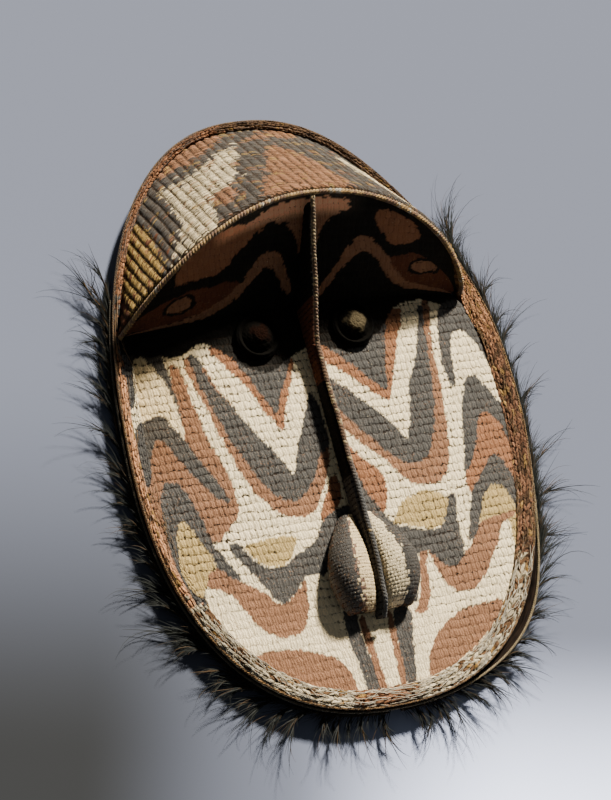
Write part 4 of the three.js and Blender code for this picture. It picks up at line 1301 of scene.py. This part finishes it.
class MASK_OT_fin(bpy.types.Operator):
    """Thin stitched fin of the nose"""

    bl_idname = "mask.fin"
    bl_label = "Nose fin"

    ROWS = 300
    CLIMB = 26
    STITCH = (4.2, 3.4)

    def execute(self, context):
        y = np.linspace(FIN_EDGE[-1][0], FIN_EDGE[0][0], self.ROWS)
        low, high = fin_profile(y)
        climb = np.linspace(0, 1, self.CLIMB)
        around = np.concatenate([climb, climb[::-1]])
        side = np.repeat([-1.0, 1.0], self.CLIMB)
        z = low[:, None] + (high - low)[:, None] * around
        rows_at = y[:, None] + 0 * z
        crown, r, c = stitches(z, rows_at, *self.STITCH, 0.4)
        round_off = np.sqrt(np.clip(1 - (2 * np.abs(around - 0.5)) ** 14, 0.05, 1))
        height = 0.9 * raised(crown, r, c, 0.75, 0.4, 5)
        x = side * ((FIN_THICKNESS / 2 - 0.4) * round_off + height)
        paints = palette()
        colour = np.tile(paints["black"], x.shape + (1,))
        colour[(y > 10) & (y < 75)] = paints["brown"]
        colour[y < -70] = paints["grey"] * 0.9
        numbers = np.arange(x.size).reshape(x.shape)
        left, right = numbers[:, :self.CLIMB], numbers[:, :self.CLIMB - 1:-1]
        quads = np.vstack([
            grid_faces(*x.shape, closed=True), bridge_faces(left[0], right[0], True),
            bridge_faces(left[-1], right[-1]),
        ])
        material = stitched("painted_fin", *self.STITCH, 0.2, bare=(120, 92, 66), gap=(20, 15, 11), worn=0.3)
        add_piece("stitched_fin", "nose_ridge", "fin", np.stack([x, rows_at, z], -1), quads, material,
                  paint=colour, across=z, along=rows_at)
        return {"FINISHED"}


def wing_point(v, t, wall=0.0):
    """Nostril wing: v runs down its length, t round its arch from the fin outwards."""
    grown = np.sin(np.minimum(v / WING_FULL_AT, 1) * math.pi / 2)
    closing = part_way(v, WING_FULL_AT, 1) ** 2
    reach = WING_START + (WING_REACH - WING_START) * grown - WING_TUCK * closing
    crest = (WING_LOW_CREST + (WING_CREST - WING_LOW_CREST) * grown) * np.sqrt(1 - WING_ROUNDING * closing)
    inner = FIN_THICKNESS / 2 + WING_GAP
    middle = (inner + reach) / 2
    half = (reach - inner) / 2 - wall
    turn = t * math.pi
    x = middle - half * np.cos(turn)
    y = WING_TOP_Y - WING_LENGTH * v
    base = face_height(middle, y) + WING_GAP + WING_EDGE_LIFT * t * (grown - 0.4 * closing)
    rise = np.sin(turn) ** 0.8
    rise = np.where(t < 0.5, WING_SHOULDER + (1 - WING_SHOULDER) * rise, rise)
    return np.stack([x, y + 0 * x, base + (crest - wall) * rise], -1)


class MASK_OT_nostrils(bpy.types.Operator):
    """Rolled wings at both sides of the fin, white inwards and dark outwards"""

    bl_idname = "mask.nostrils"
    bl_label = "Nostril wings"

    ROWS, COLUMNS = 190, 72
    BACK_ROWS, BACK_COLUMNS = 40, 24
    ROW, STITCH, LEAN = 2.8, 2.9, 0.1
    STEP = 0.004

    def execute(self, context):
        material = stitched(
            "painted_wings", self.ROW, self.STITCH, self.LEAN, bare=(168, 124, 82), gap=(44, 30, 19), worn=0.9,
            hole=0.7, seam=0.62, cross=0.3,
        )
        for side, name, node_name in ((1, "wing_left", "nostril_left"), (-1, "wing_right", "nostril_right")):
            self.wing(side, name, node_name, material)
        return {"FINISHED"}

    def wing(self, side, name, node_name, material):
        v = np.linspace(0, 1, self.ROWS)[:, None]
        t = np.linspace(0.005, 0.995, self.COLUMNS)
        plain = wing_point(v, t)
        along = wing_point(v + self.STEP, t) - wing_point(v - self.STEP, t)
        about = wing_point(v, np.minimum(t + self.STEP, 1)) - wing_point(v, np.maximum(t - self.STEP, 0))
        normal = unit(np.cross(about, along))
        normal *= np.sign(normal[..., 2:] + 1e-9)
        arch = np.cumsum(np.linalg.norm(np.diff(plain, axis=1, prepend=plain[:, :1]), axis=-1), 1) * side
        down = v * WING_LENGTH + 0.4 * noise(arch, v * WING_LENGTH, 12)
        crown, r, c = stitches(arch, down, self.ROW, self.STITCH, self.LEAN)
        lift = 0.55 * raised(crown, r, c, 0.7, 0.5, 6) - 0.2
        outer = plain + normal * lift[..., None]
        v_in = np.linspace(0, 1, self.BACK_ROWS)[:, None]
        t_in = np.linspace(0.005, 0.995, self.BACK_COLUMNS)
        inner = wing_point(v_in, t_in, WING_WALL * (0.55 + 0.45 * part_way(v_in, 0, 0.4)))
        rows = np.round(np.linspace(0, self.ROWS - 1, self.BACK_ROWS)).astype(int)
        columns = np.round(np.linspace(0, self.COLUMNS - 1, self.BACK_COLUMNS)).astype(int)
        fine = rows[:, None] * self.COLUMNS + columns
        coarse = down.size + np.arange(fine.size).reshape(fine.shape)
        quads = [
            grid_faces(self.ROWS, self.COLUMNS, flip=side < 0),
            grid_faces(self.BACK_ROWS, self.BACK_COLUMNS, down.size, flip=side > 0),
            edge_faces(fine, coarse, (False, False, True, False)),
        ]
        colour = self.colours(side, v, t, r, c)
        add_panel(name, node_name, "fin", outer, inner, quads, material, colour, palette()["black"] * 1.2,
                  arch, down, mirror=side)

    def colours(self, side, v, t, r, c):
        """White towards the fin, grey on the flank, the right wing dirtier and brightened towards its outer foot as
        painted light, both rubbed.
        """
        paints, jag = palette(), jitter(r, c, 0, 0.09)
        edge = t + jag
        colour = np.tile(paints["white"], edge.shape + (1,))
        if side < 0:
            colour = colour * np.array([0.86, 0.8, 0.72])
            colour[(edge > 0.42) & (scatter(r, c, 12) > 0.6)] = (paints["rust"] + paints["grey"] * 2) * 0.5
        colour[edge > 0.5] = paints["grey"]
        # Painted light: the right wing's outer flank is brightened, up to 2.6 times, where it turns away from the
        # light
        if side < 0:
            colour = colour * (1 + 1.6 * part_way(t, 0.78, 0.98))[:, None]
        worn = np.maximum((v - 0.9 + jag) * 7, (0.1 - v + jag) * 4) + 2.5 * (scatter(r, c, 8) - 0.86)
        worn = np.clip(np.maximum(worn, (t - 0.93 + 2 * jag) * 8), 0, 0.75)[..., None]
        return colour + (paints["rust"] * 0.8 - colour) * worn


class MASK_OT_eyes(bpy.types.Operator):
    """Coiled bosses of the eyes"""

    bl_idname = "mask.eyes"
    bl_label = "Eyes"

    TURNS = 120
    RINGS = 62
    WALL_RINGS = 6
    COIL = 3.1
    HEIGHTS = ((0, 1), (0.32, 0.92), (0.58, 0.62), (0.74, 0.36), (0.88, 0.42), (1.0, 0.26))

    def execute(self, context):
        material = corded("coiled_boss", twist=0, threads=0, gap=(8, 6, 5), roughness=1.0, sheen=0.0, shine=0.03)
        for side, name, node_name in ((1, "coil_left", "eye_left"), (-1, "coil_right", "eye_right")):
            self.boss(side, name, node_name, material)
        return {"FINISHED"}

    def boss(self, side, name, node_name, material):
        angle = np.arange(self.TURNS) / self.TURNS * 2 * math.pi
        share = np.concatenate([np.ones(self.WALL_RINGS), np.linspace(1.0, 0.0, self.RINGS)])[:, None]
        height = by_stops(share, *self.HEIGHTS)
        height[:self.WALL_RINGS] = np.linspace(0, self.HEIGHTS[-1][1], self.WALL_RINGS)[:, None]
        radius = share * EYE_RADIUS
        wind = radius / self.COIL - angle / (2 * math.pi)
        rise = wind - np.floor(wind)
        wrap = 0.75 + 0.25 * np.sin(angle * (6 + np.round(share * 18)))
        crown = np.clip(4 * rise * (1 - rise), 0, 1) ** 0.5 * wrap
        x = side * EYE_X + np.cos(angle) * (radius - 0.3 * (share > 0.99))
        y = EYE_Y + np.sin(angle) * radius
        base = face_height(EYE_X - EYE_RADIUS, EYE_Y) + 0.6
        z = base + height * EYE_HEIGHT + 0.56 * (crown - 0.5) * (share > 0.02) - 0.3
        z[:self.WALL_RINGS] = base + height[:self.WALL_RINGS] * EYE_HEIGHT
        paints = palette()
        # Painted shade: the bosses' black, their centres and their rings are darkened to small shares of the
        # paints, as under the brow. The left boss's centre is a painted highlight of white and yellow, and the
        # right one's stays dark brown.
        soot = paints["black"] * 0.25
        pale = paints["white"] * 0.05 + paints["yellow"] * 0.06 if side > 0 else paints["brown"] * 0.06
        uneven = 0.16 * noise(np.cos(angle) * share * 9, np.sin(angle) * share * 9, 2.2, side)
        middle = part_way(share + uneven, 0.52, 0.3)[..., None]
        colour = soot + (pale - soot) * middle
        ring = (share > 0.88) & (share < 0.94)
        colour = np.where(ring[..., None], paints["grey"] * 0.05, colour)
        add_piece(name, node_name, "boss", np.stack([x, y, z], -1), grid_faces(*x.shape, closed=True), material,
                  paint=colour, groove=crown)


class MASK_OT_bark(bpy.types.Operator):
    """Bark strip under the plait, with a fine twisted edge"""

    bl_idname = "mask.bark"
    bl_label = "Bark strip"

    PROFILE = ((0, 0), (0, 0.33), (0, 0.66), (0, 1), (0.5, 1.05), (1, 1), (1, 0.66), (1, 0.33), (1, 0),
               (0.5, -0.03))

    def execute(self, context):
        strip = Strands()
        angles = np.linspace(BAND_FROM, BAND_TO, 420)
        rings = []
        for out, up in self.PROFILE:
            z = BAND_BOTTOM + (BAND_TOP - BAND_BOTTOM) * np.clip(up, 0, 1)
            bow = 0.5 * math.sin(math.pi * up) * (1 if out else -1) + 0.25 * noise(angles * 3, up * 8, 7)
            ragged = 0.4 * noise(angles * 3, out, 4) * (up in (0, 1))
            rings.append(rim_line(angles, band_inset(angles, z) - out * BAND_THICKNESS - bow, z + ragged))
        quads = grid_faces(len(angles), len(rings), closed=True)
        strip.strip(rings, quads, (0.3, 0.2, 0.1), np.radians(angles) * 220, 0.7)
        # Dark brown bark, made near black as painted shade under the plait
        material = bark_grain("flattened_bark", light=(38, 28, 20), dark=(14, 10, 8), roughness=0.9, shine=0.05)
        strip.finish("bark_strip", "feather_band", "bark", material)
        edging = Strands()
        fine = np.linspace(BAND_FROM, BAND_TO, 1900)
        path = rim_line(fine, band_inset(fine, BAND_TOP) - BAND_THICKNESS + 0.4, BAND_TOP + 0.9)
        # Edging golden at the lower left, and darker along the right and the chin as painted shade
        tone = by_stops(fine, (BAND_FROM, 0.12), (262, 0.2), (300, 0.6), (BAND_TO, 0.75))
        colour = fibre("straw") * tone[:, None]
        ply(edging, path, UP, core=0.5, thickness=0.62, pitch=3.6, colour=colour, sides=5)
        material = corded("fine_cord", twist=2.0, threads=3.0, gap=(90, 64, 36))
        edging.finish("bark_edging", None, "cord", material)
        return {"FINISHED"}


def feather_sweep(angle):
    """Angle between a feather and the outward direction, growing up the sides."""
    share = eased(part_way(abs(angle - CHIN_ANGLE), 2, 36))
    return math.radians(12 + (62 if angle > CHIN_ANGLE else 50) * share)


def quill_inset(angle):
    """Inset of the cord that the feathers are tied to."""
    return band_inset(angle, QUILL_Z) - BAND_THICKNESS - QUILL_SIZE


class MASK_OT_feathers(bpy.types.Operator):
    """Strings of loose dark feathers behind the rim"""

    bl_idname = "mask.feathers"
    bl_label = "Feathers"

    STRINGS = (
        ("feather_string_a", "feathers_right", BAND_FROM, 215),
        ("feather_string_b", "feathers_chin_right", 217, 269),
        ("feather_string_c", "feathers_chin_left", 271, 323),
        ("feather_string_d", "feathers_left", 325, BAND_TO),
    )
    LEFT_SIDE = 325
    RIGHT_SIDE = 170
    CHIN_SPREAD = 44
    SHAFT_STEPS = 12
    SEGMENTS = 7
    TALLEST = 30

    def execute(self, context):
        material = barb_finish("dark_barbs")
        for name, node_name, start, end in self.STRINGS:
            self.string(name, node_name, start, end, material)
        return {"FINISHED"}

    def string(self, name, node_name, start, end, material):
        look = settings("feathers")
        string = Strands()
        angles = np.linspace(start, end, 160)
        path = rim_line(angles, quill_inset(angles), QUILL_Z)
        ply(string, path, UP, core=0.7, thickness=0.8, pitch=5, colour=np.array(look.shaft) * 0.4, sides=5)
        spacing = (end - start) / look.tufts
        for k in range(look.tufts):
            middle = start + spacing * (k + 0.5 + random.uniform(-0.2, 0.2))
            ends = middle < BAND_FROM + 6 or middle > BAND_TO - 6
            self.tuft(string, middle, spacing, 1.1 if ends else random.uniform(0.7, 1.0), look)
            if ends:
                self.plume(string, middle, look)
        string.finish(name, node_name, "feather", material)

    def place(self, angle):
        """Where a feather is tied, with the outward direction and the one up along the rim."""
        side = 1 if angle > 270 else -1
        x, y, out_x, out_y = (float(v) for v in rim_point(angle, quill_inset(angle)))
        return np.array([x, y, QUILL_Z]), np.array([out_x, out_y, 0]), np.array([-out_y * side, out_x * side, 0])

    def tuft(self, string, middle, spacing, size, look):
        """Short dark down along the rim, and a few curling feathers side by side."""
        sweep = feather_sweep(middle)
        reach = look.reach * 1000 * size
        for angle in middle + np.linspace(-0.4, 0.4, DOWN_SPOTS) * spacing:
            base, out, up = self.place(angle)
            left = angle > self.LEFT_SIDE
            chin = abs(angle - CHIN_ANGLE) < self.CHIN_SPREAD
            thick = 3 if left else 0.35 if chin else 0.9 if angle < self.RIGHT_SIDE else 0.55
            number = int(look.down / DOWN_SPOTS * thick)
            start = base + np.outer(random.normal(0, 1.5, number), up)
            start -= np.outer(random.uniform(0, 1.5, number), out)
            start += np.outer(random.uniform(0, 5 if left else 1, number), out)
            start[:, 2] += random.uniform(-3, 6, number)
            lean = sweep + 0.3 + random.normal(0, 0.14, number)
            bend = random.normal(0.4 if left else 0.3, 0.5 if chin else 0.3, number)
            length = reach * (1.3 if left else 0.85) * random.uniform(0.2, 0.62 if left else 0.5, number)
            self.barbs(string, start, out, up, lean, bend, length, look)
        shorter = 0.8 if chin or abs(angle - 180) < 34 else 1.0
        for offset in random.normal(0, 0.3, 2):
            base, out, up = self.place(middle + offset * spacing)
            lean, curl = sweep + random.normal(0.16, 0.14), random.uniform(0.3, 1.2)
            self.feather(string, base, out, up, lean, curl, reach * shorter * random.uniform(0.7, 1.3), look)

    def plume(self, string, angle, look):
        """One feather that stands off at the end of the fringe, on a golden shaft."""
        base, out, up = self.place(angle)
        turn, curl = (0.55, -0.5) if angle < 270 else (1.3, 0.3)
        self.feather(string, base, out, up, turn, curl, look.reach * 1000 * 1.08, look, gold=2.2, fan=0.5)

    def feather(self, string, base, out, up, lean, curl, reach, look, gold=0.3, fan=0.16):
        """A curved shaft with long barbs that leave it at a small angle and curl."""
        last = self.SHAFT_STEPS - 1
        steps = np.linspace(0, 1, self.SHAFT_STEPS)
        turn = lean - curl * steps**1.5
        heading = np.outer(np.cos(turn), out) + np.outer(np.sin(turn), up)
        path = base + np.concatenate([[[0, 0, 0]], np.cumsum(heading[:-1], 0) * reach * 0.55 / last])
        path[:, 2] = np.maximum(path[:, 2] + random.uniform(-2, 7) * steps, 1.4)
        string.tube(path, 0.5 - 0.38 * steps, np.array(look.shaft) * gold, sides=4)
        number = look.barbs
        place = np.sort(random.uniform(0.2, last - 0.1, number))
        low = place.astype(int)
        start = path[low] + (path[low + 1] - path[low]) * (place - low)[:, None]
        tilt = lean - curl * (place / last) ** 1.5 + random.normal(0.04, fan, number)
        length = reach * (0.24 + 0.75 * random.random(number) ** 2.2)
        self.barbs(string, start, out, up, tilt, random.normal(0.6, 0.45, number), length, look)

    def barbs(self, string, base, out, up, lean, curl, length, look):
        """Thin tapering ribbons that start at an angle from the outward direction and curl towards it."""
        number = len(base)
        t = np.linspace(0, 1, self.SEGMENTS + 1)
        angle = lean[:, None] - curl[:, None] * t**1.7
        step = np.cos(angle)[..., None] * out + np.sin(angle)[..., None] * up
        step[..., 1] -= 0.05 * t**1.5
        step[..., 2] = random.normal(0.02, 0.16, number)[:, None] * (1 - t)
        walk = np.cumsum(step[:, :-1], 1) * (length / self.SEGMENTS)[:, None, None]
        line = base[:, None] + np.concatenate([np.zeros((number, 1, 3)), walk], 1)
        line[..., 2] = np.clip(line[..., 2], 1.0, self.TALLEST)
        flat = np.cross(step, UP)
        flat[..., 2] += random.normal(0, 0.6, number)[:, None]
        wide = (0.28 * (1 - t) ** 0.8 + 0.05) * random.uniform(0.6, 1.25, number)[:, None]
        flat = unit(flat) * wide[..., None]
        points = np.stack([line - flat, line + flat], 2)
        points[..., 2] = np.maximum(points[..., 2], 0.5)
        per = len(t) * 2
        quads = (grid_faces(len(t), 2) + np.arange(number)[:, None, None] * per).reshape(-1, 4)
        tone = np.array(look.barb) * random.uniform(0.5, 1.6, number)[:, None]
        warm = (random.random(number) < 0.08)[:, None]
        string.add(points, quads, np.repeat(np.where(warm, np.array(look.shaft) * 0.4, tone), per, 0))


class MASK_OT_stage(bpy.types.Operator):
    """Floor, light and camera"""

    bl_idname = "mask.stage"
    bl_label = "Stage"

    RIGHT = Vector((0.906, -0.253, 0.340)).normalized()
    TOWARDS = Vector((-0.404, -0.268, 0.875)).normalized()
    LIGHT_FROM = Vector((0.62, 1.0, 1.0)).normalized()
    LIGHT_COLOUR = (1.0, 0.95, 0.86)
    LIGHT_WIDTH = 6.5
    ROOM_COLOUR = (0.86, 0.92, 1.0, 1)
    SHIFT_RIGHT = 0.010
    SHIFT_UP = 0.0023
    FLOOR_SIZE = 6.0
    FLOOR_CELLS = 24
    FLOOR_GAP = 0.0006
    # Strength of the painted pool of light on the floor, and colour of its painted shade
    FLOOR_PAINTED_LIGHT = 8.4
    FLOOR_PAINTED_SHADE = (0.135, 0.13, 0.105)

    def execute(self, context):
        stage = settings("stage")
        self.floor(stage)
        self.lights(stage)
        self.camera(stage)
        return {"FINISHED"}

    def link(self, name, data):
        """Puts a new object in the scene."""
        made = bpy.data.objects.new(name, data)
        bpy.context.scene.collection.objects.link(made)
        return made

    def floor(self, stage):
        """Grey floor, with a painted pool of light past the left of the chin and painted shade past its right."""
        steps = np.linspace(-self.FLOOR_SIZE / 2, self.FLOOR_SIZE / 2, self.FLOOR_CELLS + 1)
        x, y = np.meshgrid(steps, steps, indexing="ij")
        points = np.stack([x, y, np.full_like(x, -self.FLOOR_GAP)], -1).reshape(-1, 3)
        mesh = bpy.data.meshes.new("floor")
        mesh.from_pydata(points.tolist(), [], grid_faces(*x.shape, flip=True).tolist())
        look = Look("pale_floor", 0.85, 0.2)
        place = look.node("ShaderNodeTexCoord", output="Object")
        x, y = (look.node("ShaderNodeSeparateXYZ", {0: place}, axis) for axis in "XY")
        down, aside = x * -0.2 - y, y * -0.35 + x
        near = look.node("ShaderNodeVectorMath", {0: place}, "Value", operation="LENGTH").over(0.95, 0.5)
        # Painted light and shade: a bright pool beyond the chin's left and a dark pool beyond its right, both
        # fading away from the mask
        light = down.over(0.14, 0.34) * aside.over(-0.02, 0.2) * near
        shade = down.over(-0.08, 0.26) * aside.over(0.03, -0.19) * near
        floor = np.array(stage.floor)
        colour = look.mix(light, floor, floor * self.FLOOR_PAINTED_LIGHT)
        colour = look.mix(shade, colour, floor * np.array(self.FLOOR_PAINTED_SHADE))
        look.feed(look.shader, {"Base Color": colour})
        look.bump(look.cloud(900, 2), 0.0001, 0.3)
        mesh.materials.append(look.material)
        self.link("floor", mesh)

    def lights(self, stage):
        key = bpy.data.lights.new("key", "SUN")
        key.energy = stage.key
        key.angle = math.radians(self.LIGHT_WIDTH)
        key.color = self.LIGHT_COLOUR
        self.link("key", key).rotation_euler = self.LIGHT_FROM.to_track_quat("Z", "Y").to_euler()
        world = bpy.data.worlds.new("room")
        world.use_nodes = True
        sky = world.node_tree.nodes["Background"]
        sky.inputs["Color"].default_value = self.ROOM_COLOUR
        sky.inputs["Strength"].default_value = stage.fill
        bpy.context.scene.world = world

    def camera(self, stage):
        up = self.TOWARDS.cross(self.RIGHT)
        target = (Vector(SHIFT) + Vector((0, 0, RIM_PLANE))) / 1000
        place = target + self.TOWARDS * stage.distance - self.RIGHT * self.SHIFT_RIGHT + up * self.SHIFT_UP
        lens = bpy.data.cameras.new("camera")
        lens.sensor_fit = "VERTICAL"
        lens.sensor_height = 36
        lens.lens = stage.lens
        lens.clip_end = 50
        camera = self.link("camera", lens)
        turn = Matrix((self.RIGHT, up, self.TOWARDS)).transposed()
        camera.matrix_world = Matrix.Translation(place) @ turn.to_4x4()
        bpy.context.scene.camera = camera


class MASK_PT_maker(bpy.types.Panel):
    """Lists the pieces of the mask and their settings"""

    bl_idname = "MASK_PT_maker"
    bl_label = "Woven Mask"
    bl_space_type = "VIEW_3D"
    bl_region_type = "UI"
    bl_category = "Mask"

    def draw(self, context):
        for operator in OPERATORS:
            self.layout.operator(operator.bl_idname)
        for name, group in GROUPS.items():
            box = self.layout.box()
            box.label(text=group.__doc__)
            for key in group.__annotations__:
                box.prop(getattr(context.scene, "mask_" + name), key)


GROUPS = {
    "paints": MaskPaints,
    "weave": MaskWeave,
    "cords": MaskCords,
    "feathers": MaskFeathers,
    "stage": MaskStage,
}
OPERATORS = (
    MASK_OT_face,
    MASK_OT_hood,
    MASK_OT_hoop,
    MASK_OT_braid,
    MASK_OT_cords,
    MASK_OT_fin,
    MASK_OT_nostrils,
    MASK_OT_eyes,
    MASK_OT_bark,
    MASK_OT_feathers,
    MASK_OT_stage,
)


def register():
    for cls in (*GROUPS.values(), *OPERATORS, MASK_PT_maker):
        bpy.utils.register_class(cls)
    for name, group in GROUPS.items():
        setattr(bpy.types.Scene, "mask_" + name, bpy.props.PointerProperty(type=group))


def unregister():
    for name in GROUPS:
        delattr(bpy.types.Scene, "mask_" + name)
    for cls in reversed((*GROUPS.values(), *OPERATORS, MASK_PT_maker)):
        bpy.utils.unregister_class(cls)


def main():
    register()
    for operator in OPERATORS:
        group, name = operator.bl_idname.split(".")
        getattr(getattr(bpy.ops, group), name)()


if __name__ == "__main__":
    main()
